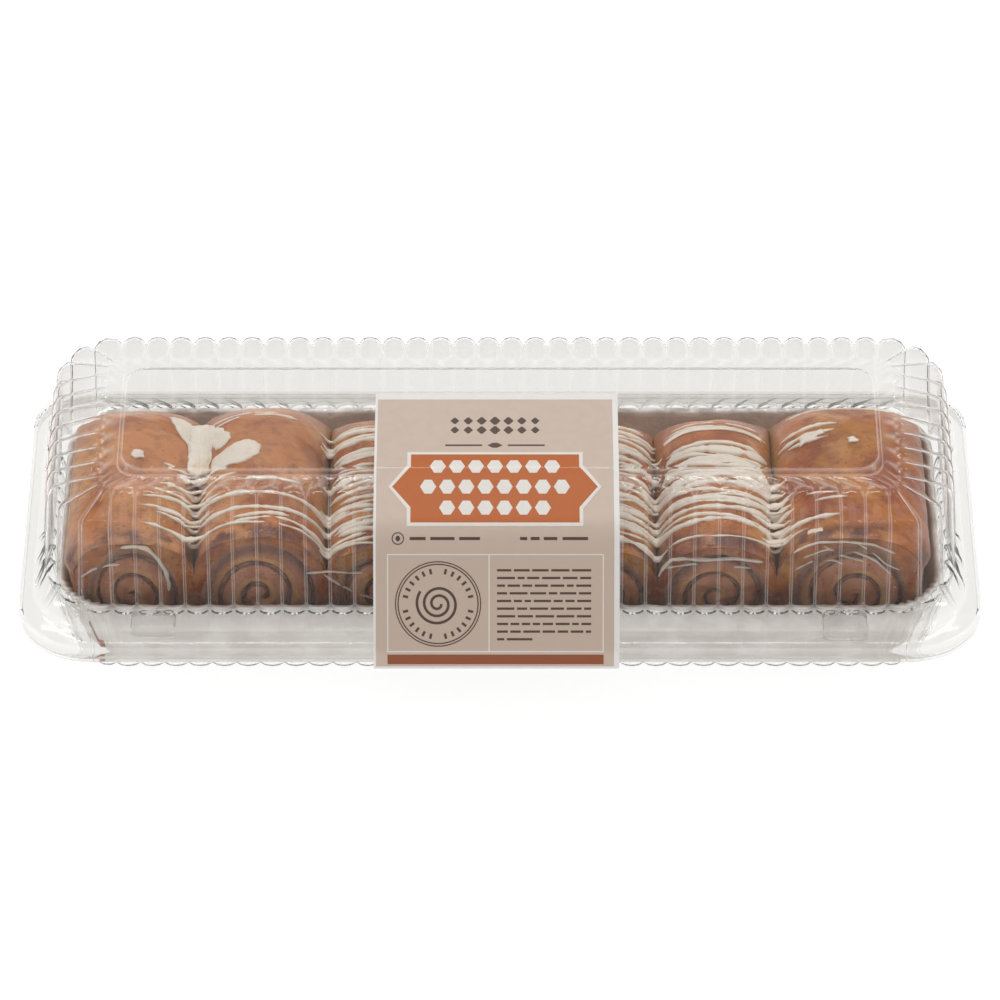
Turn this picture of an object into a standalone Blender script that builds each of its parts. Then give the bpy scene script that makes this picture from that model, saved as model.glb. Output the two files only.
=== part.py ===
# Cinnamon babka in a foil tray, shut in a clear fluted clamshell with a paper band.
# Metres, +Z up, front of the pack towards -Y, long side along X.
import math
import random

import bmesh
import bpy
from mathutils import Vector

# The clear clamshell. Depths are measured from the middle line of the dome.
FLANGE_HALF_LENGTH = 0.165
FLANGE_FRONT = 0.0750
FLANGE_REAR = 0.0648
FLANGE_CORNERS = (0.019, 0.026)
STEP_HALF_LENGTH = 0.1600
STEP_FRONT = 0.0650
STEP_REAR = 0.0600
STEP_CORNERS = (0.017, 0.023)
STEP_RUN = 0.0006
EDGE_ROUND = 0.0005
WALL = 0.0005
GAP = 0.0003
LID_PLATE_TOP = 0.0302
LID_EDGE_TOP = 0.0287
SKIRT_BOTTOM = 0.0232
BASE_SKIRT_SHORTER = 0.0008
RIM_ROOM = 0.0013
SHOULDER_HEIGHT = 0.0625
PANEL_HEIGHT = 0.0694
PANEL_HALF_LENGTH = 0.1295
PANEL_HALF_DEPTH = 0.0276
PANEL_CORNER = 0.0075
PANEL_STEP = 0.0019
PANEL_FLARE = 0.0012

# The flutes start from a rounded core; reaches are counted outwards from it.
CORE_HALF_LENGTH = 0.1324
CORE_HALF_DEPTH = 0.0280
FLUTES_LONG = 32
FLUTES_SHORT = 7
FLUTES_CORNER = 3
FLUTE_DEPTH = 0.0026
ARCH_REACH = (0.0030, 0.0060)
ARCH_DROP = 0.0004
FINGER_REACH = (0.0062, 0.0092)
FINGER_DROP = 0.0012
FINGER_RISE = 0.0010
SHOULDER_REACH = (0.0204, 0.0220)
SHOULDER_RISE = 0.0018
LID_FOOT_REACH = (0.0226, 0.0250)
BASE_TOP_REACH = (0.0218, 0.0253)
BASE_HEEL_REACH = (0.0150, 0.0201)
BASE_HEEL_HEIGHT = 0.0008
BASE_HEEL_DEPTH = 0.0023
BASE_FLOOR_REACH = (0.0125, 0.0178)
BASE_FLOOR_CORNER = 0.016
OUTER_STEPS = 3
INNER_STEPS = 2
INNER_DEPTH_SHARE = 0.8
PLAIN_LONG = 6
PLAIN_SHORT = 2
PLAIN_CORNER = 4

# The two press studs on the front of the flange.
TAB_X = (-0.1182, 0.1176)
TAB_WIDTH = 0.0158
TAB_NEAR = 0.0568
TAB_FAR = (0.0678, 0.0700)
TAB_HEIGHT = 0.0014
TAB_CORNER = 0.0028
TAB_ROUND = 0.0006

# The aluminium tray.
TRAY_RIM_HALF = (0.1525, 0.0545)
TRAY_TOP_HALF = (0.1503, 0.0521)
TRAY_FLOOR_HALF = (0.1446, 0.0446)
TRAY_RIM_Z = 0.0284
TRAY_RIM_THICKNESS = 0.0010
TRAY_FLOOR_Z = 0.0009
TRAY_WALL = 0.0004
TRAY_CORNER = 0.019
TRAY_FLOOR_CORNER = 0.016
TRAY_RIM_CORNER = 0.021
TRAY_RIM_ROUND = 0.0004
TRAY_CRIMP = 0.0004
TRAY_PLEATS = (18, 6, 4)

# The loaf: seven rolls side by side, their cut ends to the front.
ROLL_WIDTHS = (0.0429, 0.0451, 0.0389, 0.0371, 0.0374, 0.0408, 0.0477)
ROLL_CRESTS = (0.0535, 0.0565, 0.0510, 0.0505, 0.0500, 0.0515, 0.0560)
ROLL_BACKS = (0.0435, 0.0425, 0.0390, 0.0380, 0.0375, 0.0390, 0.0430)
LOAF_LEFT = -0.1475
LOAF_FLOOR = 0.0017
LOAF_FRONT_TOP = 0.0478
LOAF_FRONT_FLOOR = 0.0428
LOAF_BACK_FLOOR = 0.0385
FRONT_REF_HEIGHT = 0.054
CREASE_DEPTH = 0.0155
CREASE_SHAPE = (2.3, 0.55)
CREASE_BLEND = 3
BACK_SHELF = 0.027
CORNER_SHARE = 0.16
CORNER_PULL = 0.0105
SIDE_TAPER = 0.0052
END_ROLL_TUCK = 0.0022
PLATEAU_END = 0.004
ROLL_STEPS = 6
FLOOR_STEPS = 4
STATIONS = (0.0, 0.05, 0.14, 0.34, 0.54, 0.68, 0.79, 0.88, 0.95, 1.0)

# The cinnamon filling, rolled up in each roll, and the icing drizzle.
FILLING_THICKNESS = 0.0014
FILLING_TURNS = 1.9
FILLING_STEPS = 22
FILLING_BACK = 0.012
FILLING_HEIGHT = 0.0275
FILLING_MARGIN = (0.0042, 0.0048)
FILLING_START = 0.18
SLOT_OVERRUN = 0.004
DRIZZLE_ROWS = (
    (-0.0420, 1.7, 6.8),
    (-0.0340, 1.3, 5.9),
    (-0.0265, 1.2, 6.5),
    (-0.0180, 1.9, 5.8),
    (-0.0090, 2.0, 5.9),
    (0.0005, 2.1, 5.9),
    (0.0100, 2.1, 5.8),
)
DRIZZLE_HALF_WIDTH = 0.0017
DRIZZLE_PROUD = 0.0013
DRIZZLE_SUNK = 0.0009
DRIZZLE_OFFSET = 0.0004
DRIZZLE_SWAY = 0.0013
DRIZZLE_WAVES = 70.0
DRIZZLE_END = 0.5
DRIZZLE_UNEVEN = (0.75, 1.2)

# The paper band, from the top panel to the foot of the front edge.
BAND_CENTRE = -0.0012
BAND_WIDTH = 0.0835
BAND_THICKNESS = 0.0004
BAND_ROUTE = (
    (0.0121, 0.0698),
    (-0.0279, 0.0698),
    (-0.0527, 0.0640),
    (-0.0756, 0.0291),
    (-0.0758, 0.0211),
)

SHARP_ANGLE = math.radians(35)
BAND_FRONT = -BAND_ROUTE[-1][0] + BAND_THICKNESS
DOME_SHIFT = (BAND_FRONT - FLANGE_REAR) / 2


def clear_scene():
    for item in list(bpy.data.objects):
        bpy.data.objects.remove(item, do_unlink=True)


def material(name, colour, roughness, metallic=0.0, alpha=1.0):
    made = bpy.data.materials.new(name)
    made.use_nodes = True
    shader = made.node_tree.nodes["Principled BSDF"]
    shader.inputs["Base Color"].default_value = (*colour, 1.0)
    shader.inputs["Roughness"].default_value = roughness
    shader.inputs["Metallic"].default_value = metallic
    shader.inputs["Alpha"].default_value = alpha
    return made


def add_object(name, mesh_builder, surface):
    bmesh.ops.recalc_face_normals(mesh_builder, faces=mesh_builder.faces)
    bmesh.ops.translate(mesh_builder, verts=mesh_builder.verts, vec=(0.0, DOME_SHIFT, 0.0))
    mesh = bpy.data.meshes.new(name)
    mesh_builder.to_mesh(mesh)
    mesh_builder.free()
    made = bpy.data.objects.new(name, mesh)
    bpy.context.scene.collection.objects.link(made)
    mesh.materials.append(surface)
    mesh.shade_smooth()
    mesh.set_sharp_from_angle(angle=SHARP_ANGLE)
    return made


# A point of a rounded rectangle. The whole part of t counts sides and corners in turn,
# starting with the right-hand side, and the rest of t runs along that side or corner.
def outline_point(t, straight, radius):
    corners = ((1, 1), (-1, 1), (-1, -1), (1, -1))
    part = int(t) % 8
    along = t - int(t)
    quarter = part // 2
    here = corners[quarter]
    if part % 2:
        centre_x = here[0] * straight[0]
        centre_y = here[1] * straight[1]
        angle = math.radians(90 * (quarter + along))
    else:
        before = corners[quarter - 1]
        centre_x = straight[0] * (before[0] + (here[0] - before[0]) * along)
        centre_y = straight[1] * (before[1] + (here[1] - before[1]) * along)
        angle = math.radians(90 * quarter)
    normal = (math.cos(angle), math.sin(angle))
    point = (centre_x + radius[0] * normal[0], centre_y + radius[1] * normal[1])
    return point, normal


def ring_columns(counts, steps):
    long_count, short_count, corner_count = counts
    columns = []
    for part in range(8):
        if part % 2:
            count = corner_count
        elif part % 4:
            count = long_count
        else:
            count = short_count
        for index in range(count):
            for step in range(steps):
                phase = step / steps
                columns.append((part + (index + phase) / count, phase))
    return columns


def plain_ring(half_x, half_y, corner, height, middle=0.0, counts=None):
    counts = counts or (PLAIN_LONG, PLAIN_SHORT, PLAIN_CORNER)
    ring = []
    for t, _ in ring_columns(counts, 1):
        behind = 1 <= t <= 4
        radius = corner[0 if behind else 1] if isinstance(corner, tuple) else corner
        straight = (half_x - radius, half_y - radius)
        point, _ = outline_point(t, straight, (radius, radius))
        ring.append((t, Vector((point[0], point[1] + middle, height))))
    return ring


def fluted_ring(reach, height, out, up, steps):
    straight = (CORE_HALF_LENGTH, CORE_HALF_DEPTH)
    share = 1.0 if steps == OUTER_STEPS else INNER_DEPTH_SHARE
    ring = []
    for t, phase in ring_columns((FLUTES_LONG, FLUTES_SHORT, FLUTES_CORNER), steps):
        point, normal = outline_point(t, straight, reach)
        bulge = share * math.sin(math.pi * phase)
        x = point[0] + normal[0] * out * bulge
        y = point[1] + normal[1] * out * bulge
        ring.append((t, Vector((x, y, height + up * bulge))))
    return ring


def put_ring(mesh_builder, ring):
    return [(t, mesh_builder.verts.new(point)) for t, point in ring]


# Joins two closed rings with triangles, by their places along the outline.
def join_rings(mesh_builder, first, second):
    i = 0
    j = 0
    while i < len(first) or j < len(second):
        next_first = first[i + 1][0] if i + 1 < len(first) else 8.0
        next_second = second[j + 1][0] if j + 1 < len(second) else 8.0
        a = first[i % len(first)][1]
        b = second[j % len(second)][1]
        if j == len(second) or (i < len(first) and next_first <= next_second):
            i += 1
            mesh_builder.faces.new((a, first[i % len(first)][1], b))
        else:
            j += 1
            mesh_builder.faces.new((a, second[j % len(second)][1], b))


def ring_shell(rings):
    mesh_builder = bmesh.new()
    placed = [put_ring(mesh_builder, ring) for ring in rings]
    for first, second in zip(placed, placed[1:]):
        join_rings(mesh_builder, first, second)
    for end in (placed[0], placed[-1]):
        mesh_builder.faces.new([vert for _, vert in end])
    return mesh_builder


def flange_ring(half_length, front, rear, corners, height):
    return plain_ring(half_length, (front + rear) / 2, corners, height, (rear - front) / 2)


def step_ring(change, height):
    return flange_ring(STEP_HALF_LENGTH + change, STEP_FRONT + change, STEP_REAR + change,
                       STEP_CORNERS, height)


def edge_ring(change, height, smaller):
    rounded = tuple(corner - smaller for corner in FLANGE_CORNERS)
    return flange_ring(FLANGE_HALF_LENGTH + change, FLANGE_FRONT + change,
                       FLANGE_REAR + change, rounded, height)


def grown(reach, change):
    return (reach[0] + change, reach[1] + change)


def lid_side(inset, steps):
    top_x = PANEL_HALF_LENGTH - inset / 2
    top_y = PANEL_HALF_DEPTH - inset / 2
    foot = PANEL_HEIGHT - PANEL_STEP - inset
    plate = LID_PLATE_TOP - inset
    edge = LID_EDGE_TOP - inset
    rings = [
        plain_ring(top_x, top_y, PANEL_CORNER, PANEL_HEIGHT - inset),
        plain_ring(top_x + PANEL_FLARE, top_y + PANEL_FLARE, PANEL_CORNER + PANEL_FLARE, foot),
        fluted_ring(ARCH_REACH, foot - ARCH_DROP, 0.0, 0.0, steps),
    ]
    if steps == OUTER_STEPS:
        rings.append(fluted_ring(FINGER_REACH, foot - FINGER_DROP, 0.0, FINGER_RISE, steps))
    rings += [
        fluted_ring(grown(SHOULDER_REACH, -inset), SHOULDER_HEIGHT - inset,
                    FLUTE_DEPTH, SHOULDER_RISE, steps),
        fluted_ring(grown(LID_FOOT_REACH, -inset), plate, FLUTE_DEPTH, 0.0, steps),
        step_ring(-inset, plate),
        step_ring(STEP_RUN - inset, edge),
        edge_ring(-EDGE_ROUND - inset, edge, inset),
        edge_ring(-inset, SKIRT_BOTTOM, inset),
    ]
    return rings


def press_stud(centre_x, far):
    middle = -(TAB_NEAR + far) / 2
    foot = LID_EDGE_TOP - WALL / 2
    top = LID_PLATE_TOP + TAB_HEIGHT
    rings = []
    for height, shrink in ((foot, 0.0), (top - TAB_ROUND, TAB_ROUND / 2), (top, 2 * TAB_ROUND)):
        ring = plain_ring(TAB_WIDTH / 2 - shrink, (far - TAB_NEAR) / 2 - shrink,
                          TAB_CORNER - shrink, height, middle, (1, 1, 3))
        rings.append([(t, point + Vector((centre_x, 0.0, 0.0))) for t, point in ring])
    return ring_shell(rings)


def fuse(target, pieces):
    group = bpy.data.collections.new(target.name + "_pieces")
    bpy.context.scene.collection.children.link(group)
    for piece in pieces:
        bpy.context.scene.collection.objects.unlink(piece)
        group.objects.link(piece)
    joiner = target.modifiers.new("fuse", "BOOLEAN")
    joiner.operation = "UNION"
    joiner.operand_type = "COLLECTION"
    joiner.collection = group
    joiner.solver = "EXACT"
    apply_modifiers(target)
    for piece in pieces:
        bpy.data.objects.remove(piece, do_unlink=True)
    bpy.data.collections.remove(group)


def apply_modifiers(target):
    graph = bpy.context.evaluated_depsgraph_get()
    finished = bpy.data.meshes.new_from_object(target.evaluated_get(graph))
    old = target.data
    target.modifiers.clear()
    target.data = finished
    bpy.data.meshes.remove(old)


def make_lid(surface):
    rings = lid_side(0.0, OUTER_STEPS) + lid_side(WALL, INNER_STEPS)[::-1]
    lid = add_object("clamshell_lid", ring_shell(rings), surface)
    studs = []
    for centre_x, far in zip(TAB_X, TAB_FAR):
        studs.append(add_object("stud", press_stud(centre_x, far), surface))
    fuse(lid, studs)


def base_side(inset, steps):
    plate = LID_PLATE_TOP - RIM_ROOM - GAP - 2 * WALL + inset
    edge = LID_EDGE_TOP - GAP - 2 * WALL + inset
    inside_lid = inset - GAP - 2 * WALL
    floor_x = CORE_HALF_LENGTH + BASE_FLOOR_REACH[0]
    floor_y = CORE_HALF_DEPTH + BASE_FLOOR_REACH[1]
    return [
        plain_ring(floor_x, floor_y, BASE_FLOOR_CORNER, inset),
        fluted_ring(grown(BASE_HEEL_REACH, -inset), BASE_HEEL_HEIGHT + inset,
                    BASE_HEEL_DEPTH, 0.0, steps),
        fluted_ring(grown(BASE_TOP_REACH, -inset), plate, FLUTE_DEPTH, 0.0, steps),
        step_ring(inside_lid, plate),
        step_ring(inside_lid + STEP_RUN, edge),
        edge_ring(inside_lid - EDGE_ROUND, edge, 2 * WALL),
        edge_ring(inside_lid, SKIRT_BOTTOM + BASE_SKIRT_SHORTER, 2 * WALL),
    ]


def make_base(surface):
    rings = base_side(0.0, OUTER_STEPS) + base_side(WALL, INNER_STEPS)[::-1]
    add_object("clamshell_base", ring_shell(rings), surface)


def tray_ring(half, smaller, corner, height):
    return plain_ring(half[0] - smaller, half[1] - smaller, corner, height, 0.0, TRAY_PLEATS)


def crimped(ring, noise):
    crimps = []
    for t, point in ring:
        crimps.append((t, point + Vector((0.0, 0.0, noise.uniform(-TRAY_CRIMP, TRAY_CRIMP)))))
    return crimps


def make_tray(surface):
    noise = random.Random(5)
    rim_top = TRAY_RIM_Z + TRAY_RIM_THICKNESS - TRAY_CRIMP
    rings = [
        tray_ring(TRAY_FLOOR_HALF, 0.0, TRAY_FLOOR_CORNER, TRAY_FLOOR_Z),
        tray_ring(TRAY_TOP_HALF, 0.0, TRAY_CORNER, TRAY_RIM_Z),
        tray_ring(TRAY_RIM_HALF, 0.0, TRAY_RIM_CORNER, TRAY_RIM_Z),
        crimped(tray_ring(TRAY_RIM_HALF, TRAY_RIM_ROUND, TRAY_RIM_CORNER, rim_top), noise),
        crimped(tray_ring(TRAY_TOP_HALF, TRAY_WALL, TRAY_CORNER, rim_top), noise),
        tray_ring(TRAY_FLOOR_HALF, TRAY_WALL, TRAY_FLOOR_CORNER, TRAY_FLOOR_Z + TRAY_WALL),
    ]
    add_object("foil_tray", ring_shell(rings), surface)


def roll_edges():
    edges = [LOAF_LEFT]
    for width in ROLL_WIDTHS:
        edges.append(edges[-1] + width)
    return edges


def roll_at(x):
    edges = roll_edges()
    index = 0
    while index < len(ROLL_WIDTHS) - 1 and x > edges[index + 1]:
        index += 1
    centre = (edges[index] + edges[index + 1]) / 2
    return index, (x - centre) / (ROLL_WIDTHS[index] / 2)


# A crease between two rolls takes the mean of what its neighbours ask for.
def crease_value(values, index, across):
    neighbour = index + (1 if across > 0 else -1)
    if neighbour < 0 or neighbour >= len(values):
        return values[index]
    return (values[index] + values[neighbour]) / 2


def blended(values, index, across):
    weight = abs(across) ** CREASE_BLEND
    return values[index] * (1 - weight) + crease_value(values, index, across) * weight


def arch_height(x):
    index, across = roll_at(x)
    low = crease_value(ROLL_CRESTS, index, across) - CREASE_DEPTH
    crest = ROLL_CRESTS[index]
    round_over = max(0.0, 1 - abs(across) ** CREASE_SHAPE[0]) ** CREASE_SHAPE[1]
    return low + (crest - low) * round_over


def back_reach(x):
    index, across = roll_at(x)
    return blended(ROLL_BACKS, index, across)


def front_y(height):
    slope = (LOAF_FRONT_TOP - LOAF_FRONT_FLOOR) / (FRONT_REF_HEIGHT - LOAF_FLOOR)
    return -LOAF_FRONT_FLOOR - slope * (height - LOAF_FLOOR)


def loaf_height(x, y):
    fall = max(0.0, (y - PLATEAU_END) / (back_reach(x) - PLATEAU_END))
    share = math.sqrt(max(0.0, 1 - fall ** 2))
    return BACK_SHELF + (arch_height(x) - BACK_SHELF) * share


def end_pull(station):
    front = max(0.0, 1 - station / CORNER_SHARE)
    back = max(0.0, (station - 1 + CORNER_SHARE) / CORNER_SHARE)
    return CORNER_PULL * (front ** 2 + back ** 2)


def loaf_x(x, station):
    index, across = roll_at(x)
    outer_left = index == 0 and across < 0
    outer_right = index == len(ROLL_WIDTHS) - 1 and across > 0
    if outer_left or outer_right:
        return x - end_pull(station) * across
    return x


def arch_columns():
    columns = []
    edges = roll_edges()
    for left, right in zip(edges, edges[1:]):
        for step in range(ROLL_STEPS):
            columns.append(left + (right - left) * step / ROLL_STEPS)
    columns.append(edges[-1])
    return columns


def loaf_section(station):
    section = []
    columns = arch_columns()
    for x in columns:
        start = front_y(arch_height(x))
        y = start + (back_reach(x) - start) * station
        section.append(Vector((loaf_x(x, station), y, loaf_height(x, y))))
    floor_y = -LOAF_FRONT_FLOOR + (LOAF_BACK_FLOOR + LOAF_FRONT_FLOOR) * station
    right = loaf_x(columns[-1], station) - SIDE_TAPER
    left = loaf_x(columns[0], station) + SIDE_TAPER
    for step in range(FLOOR_STEPS + 1):
        x = right + (left - right) * step / FLOOR_STEPS
        section.append(Vector((x, floor_y, LOAF_FLOOR)))
    return section


def make_loaf(surface):
    mesh_builder = bmesh.new()
    sections = []
    for station in STATIONS:
        sections.append([mesh_builder.verts.new(point) for point in loaf_section(station)])
    for near, far in zip(sections, sections[1:]):
        for index in range(len(near)):
            after = (index + 1) % len(near)
            mesh_builder.faces.new((near[index], near[after], far[after], far[index]))
    mesh_builder.faces.new(sections[0])
    mesh_builder.faces.new(sections[-1])
    return add_object("babka", mesh_builder, surface)


# The rolled-up filling sheet, drawn as a spiral and carried along Y.
def spiral_strip(index, thickness, front_margin, back):
    edges = roll_edges()
    centre_x = (edges[index] + edges[index + 1]) / 2
    reach_x = ROLL_WIDTHS[index] / 2 - FILLING_MARGIN[0]
    if index in (0, len(ROLL_WIDTHS) - 1):
        reach_x -= END_ROLL_TUCK
    reach_z = ROLL_CRESTS[index] - FILLING_HEIGHT - FILLING_MARGIN[1]
    turn = 1 if index % 2 else -1
    start = random.Random(20 + index).uniform(0.0, 2 * math.pi)
    rows = []
    for step in range(FILLING_STEPS + 1):
        share = step / FILLING_STEPS
        angle = start + turn * 2 * math.pi * FILLING_TURNS * share
        radius = FILLING_START + (1 - FILLING_START) * share
        for side in (-1, 1):
            x = centre_x + (reach_x * radius + side * thickness / 2) * math.cos(angle)
            z = FILLING_HEIGHT + (reach_z * radius + side * thickness / 2) * math.sin(angle)
            rows.append((x, z))
    mesh_builder = bmesh.new()
    front_verts = [mesh_builder.verts.new((x, front_y(z) + front_margin, z)) for x, z in rows]
    back_verts = [mesh_builder.verts.new((x, back, z)) for x, z in rows]
    for step in range(FILLING_STEPS):
        inner = 2 * step
        outer = inner + 1
        for verts in (front_verts, back_verts):
            mesh_builder.faces.new((verts[inner], verts[inner + 2], verts[outer + 2], verts[outer]))
        for low, high in ((inner, inner + 2), (outer, outer + 2)):
            mesh_builder.faces.new((front_verts[low], front_verts[high],
                                    back_verts[high], back_verts[low]))
    for first, second in ((0, 1), (-2, -1)):
        mesh_builder.faces.new((front_verts[first], front_verts[second],
                                back_verts[second], back_verts[first]))
    return mesh_builder


def cut_filling_slots(loaf, surface):
    for index in range(len(ROLL_WIDTHS)):
        slot = spiral_strip(index, FILLING_THICKNESS + 2 * GAP, -SLOT_OVERRUN, FILLING_BACK + GAP)
        cutter = add_object("slot_%d" % index, slot, surface)
        cut = loaf.modifiers.new("slot", "BOOLEAN")
        cut.operation = "DIFFERENCE"
        cut.solver = "EXACT"
        cut.object = cutter
        apply_modifiers(loaf)
        bpy.data.objects.remove(cutter, do_unlink=True)


def make_fillings(surface):
    for index in range(len(ROLL_WIDTHS)):
        strip = spiral_strip(index, FILLING_THICKNESS, GAP, FILLING_BACK)
        add_object("filling_%d" % (index + 1), strip, surface)


# One thread of icing, a low ridge that follows the rolls from side to side.
def drizzle_thread(depth, first_roll, last_roll, noise):
    edges = roll_edges()
    roll_pitch = (edges[-1] - edges[0]) / len(ROLL_WIDTHS)
    first = edges[0] + roll_pitch * first_roll
    last = edges[0] + roll_pitch * last_roll
    chosen = [x + DRIZZLE_OFFSET for x in arch_columns() if first <= x <= last]
    mesh_builder = bmesh.new()
    rows = []
    phase = noise.uniform(0.0, 2 * math.pi)
    for x in chosen:
        y = depth + DRIZZLE_SWAY * math.sin(phase + x * DRIZZLE_WAVES)
        top = loaf_height(x, y)
        ends = x in (chosen[0], chosen[-1])
        half = DRIZZLE_HALF_WIDTH * (DRIZZLE_END if ends else noise.uniform(*DRIZZLE_UNEVEN))
        corners = ((y - half, top - DRIZZLE_SUNK), (y, top + DRIZZLE_PROUD),
                   (y + half, top - DRIZZLE_SUNK))
        rows.append([mesh_builder.verts.new((x, cy, cz)) for cy, cz in corners])
    for near, far in zip(rows, rows[1:]):
        for index in range(3):
            after = (index + 1) % 3
            mesh_builder.faces.new((near[index], near[after], far[after], far[index]))
    mesh_builder.faces.new(rows[0])
    mesh_builder.faces.new(rows[-1])
    return mesh_builder


def make_drizzle(loaf, surface):
    noise = random.Random(11)
    threads = []
    for index, (depth, first_roll, last_roll) in enumerate(DRIZZLE_ROWS):
        thread = drizzle_thread(depth, first_roll, last_roll, noise)
        threads.append(add_object("drizzle_%d" % index, thread, surface))
    fuse(loaf, threads)


def make_band(surface):
    mesh_builder = bmesh.new()
    rows = []
    for index, (y, z) in enumerate(BAND_ROUTE):
        before = Vector(BAND_ROUTE[max(index - 1, 0)])
        after = Vector(BAND_ROUTE[min(index + 1, len(BAND_ROUTE) - 1)])
        along = (after - before).normalized()
        out = Vector((along.y, -along.x)) * BAND_THICKNESS
        corners = []
        for side in (-1, 1):
            x = BAND_CENTRE + side * BAND_WIDTH / 2
            corners.append((x, y, z))
            corners.append((x, y + out.x, z + out.y))
        left_in, left_out, right_in, right_out = corners
        loop = (left_in, right_in, right_out, left_out)
        rows.append([mesh_builder.verts.new(corner) for corner in loop])
    for near, far in zip(rows, rows[1:]):
        for index in range(4):
            after = (index + 1) % 4
            mesh_builder.faces.new((near[index], near[after], far[after], far[index]))
    mesh_builder.faces.new(rows[0])
    mesh_builder.faces.new(rows[-1])
    add_object("paper_band", mesh_builder, surface)


def build():
    clear_scene()
    clear = material("clear_plastic", (0.92, 0.93, 0.93), 0.06, alpha=0.3)
    foil = material("foil", (0.72, 0.72, 0.70), 0.28, metallic=1.0)
    crust = material("baked_crust", (0.52, 0.25, 0.10), 0.4)
    cinnamon = material("cinnamon_filling", (0.13, 0.07, 0.05), 0.6)
    paper = material("tan_paper", (0.61, 0.50, 0.41), 0.55)
    make_base(clear)
    make_lid(clear)
    make_tray(foil)
    loaf = make_loaf(crust)
    cut_filling_slots(loaf, crust)
    make_drizzle(loaf, crust)
    make_fillings(cinnamon)
    make_band(paper)


build()
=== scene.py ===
import math
import random

import bmesh
import bpy
import numpy as np
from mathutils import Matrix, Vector, noise


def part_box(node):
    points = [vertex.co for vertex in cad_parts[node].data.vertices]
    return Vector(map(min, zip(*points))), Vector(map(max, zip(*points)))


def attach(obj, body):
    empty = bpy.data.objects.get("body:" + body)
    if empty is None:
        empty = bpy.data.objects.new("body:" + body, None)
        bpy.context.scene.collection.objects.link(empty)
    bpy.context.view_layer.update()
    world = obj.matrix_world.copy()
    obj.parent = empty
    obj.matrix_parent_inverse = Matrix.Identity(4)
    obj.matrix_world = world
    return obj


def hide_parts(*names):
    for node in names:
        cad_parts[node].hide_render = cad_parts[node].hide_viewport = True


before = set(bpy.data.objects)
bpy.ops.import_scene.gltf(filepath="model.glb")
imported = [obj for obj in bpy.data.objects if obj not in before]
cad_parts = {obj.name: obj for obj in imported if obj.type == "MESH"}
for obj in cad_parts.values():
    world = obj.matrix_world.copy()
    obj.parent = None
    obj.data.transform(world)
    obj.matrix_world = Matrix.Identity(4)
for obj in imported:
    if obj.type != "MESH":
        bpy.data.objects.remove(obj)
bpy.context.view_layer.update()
print("frame: the packed babka is loaded")

mm = 0.001
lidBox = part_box("clamshell_lid")
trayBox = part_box("foil_tray")
rearFlange = 64.8 * mm                       # from the dome's middle line to the rear edge
domeMiddle = lidBox[1].y - rearFlange        # y of the dome's middle line


# Small helpers for meshes and node trees.

def addObject(name, data):
    made = bpy.data.objects.new(name, data)
    bpy.context.scene.collection.objects.link(made)
    return made


def addPiece(name, mesh, material, replaced):
    piece = addObject(name, mesh)
    mesh.materials.append(material)
    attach(piece, "root")
    if replaced:
        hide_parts(*replaced)


def addMask(mesh, name, values):             # a number for each of the mesh's points
    layer = mesh.attributes.new(name, "FLOAT", "POINT")
    layer.data.foreach_set("value", np.array(values, dtype=np.float32).ravel())


def meshFrom(name, verts, faces, sharp=None):
    mesh = bpy.data.meshes.new(name)
    mesh.from_pydata([tuple(v) for v in verts], [], faces)
    mesh.validate()
    builder = bmesh.new()
    builder.from_mesh(mesh)
    bmesh.ops.recalc_face_normals(builder, faces=builder.faces)
    builder.to_mesh(mesh)
    builder.free()
    mesh.shade_smooth()
    if sharp:
        mesh.set_sharp_from_angle(angle=math.radians(sharp))
    return mesh


def gridFaces(rows, columns, start=0):
    faces = []
    for r in range(rows - 1):
        for c in range(columns):
            a = start + r * columns + c
            b = start + r * columns + (c + 1) % columns
            faces.append((a, b, b + columns, a + columns))
    return faces


def closedRings(name, rings, sharp=None):    # rings of the same length, capped at both ends
    rings = np.array(rings)
    rows, columns, _ = rings.shape
    verts = rings.reshape(-1, 3)
    faces = gridFaces(rows, columns)
    faces.append(tuple(range(columns)))
    faces.append(tuple(range((rows - 1) * columns, rows * columns)))
    return meshFrom(name, verts, faces, sharp)


def addNode(tree, kind, **values):
    made = tree.nodes.new(kind)
    for key, value in values.items():
        setattr(made, key, value)
    return made


def feed(tree, target, source):              # a socket, or a plain value
    if isinstance(source, bpy.types.NodeSocket):
        tree.links.new(source, target)
    else:
        target.default_value = source


def mathNode(tree, operation, *sources):
    made = addNode(tree, "ShaderNodeMath", operation=operation)
    for socket, source in zip(made.inputs, sources):
        feed(tree, socket, source)
    return made.outputs[0]


def mixColours(tree, factor, first, second):
    made = addNode(tree, "ShaderNodeMix", data_type="RGBA")
    feed(tree, made.inputs[0], factor)
    feed(tree, made.inputs[6], first)
    feed(tree, made.inputs[7], second)
    return made.outputs[2]


def stepUp(tree, value, low, high):          # 0 under low, 1 over high, smooth between
    made = addNode(tree, "ShaderNodeMapRange", interpolation_type="SMOOTHSTEP")
    feed(tree, made.inputs["Value"], value)
    feed(tree, made.inputs["From Min"], low)
    feed(tree, made.inputs["From Max"], high)
    return made.outputs["Result"]


def readMask(tree, name):                    # a number kept on the mesh's points
    return addNode(tree, "ShaderNodeAttribute", attribute_name=name).outputs["Fac"]


def rgb(red, green, blue):                   # from the 0-255 values of a paint chip
    linear = []
    for value in (red, green, blue):
        share = value / 255
        linear.append(share / 12.92 if share <= 0.04045 else ((share + 0.055) / 1.055) ** 2.4)
    return (*linear, 1.0)


def newMaterial(name, **plain):
    made = bpy.data.materials.new(name)
    made.use_nodes = True
    tree = made.node_tree
    shader = tree.nodes["Principled BSDF"]
    for key, value in plain.items():
        shader.inputs[key].default_value = value
    return made, tree, shader


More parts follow.
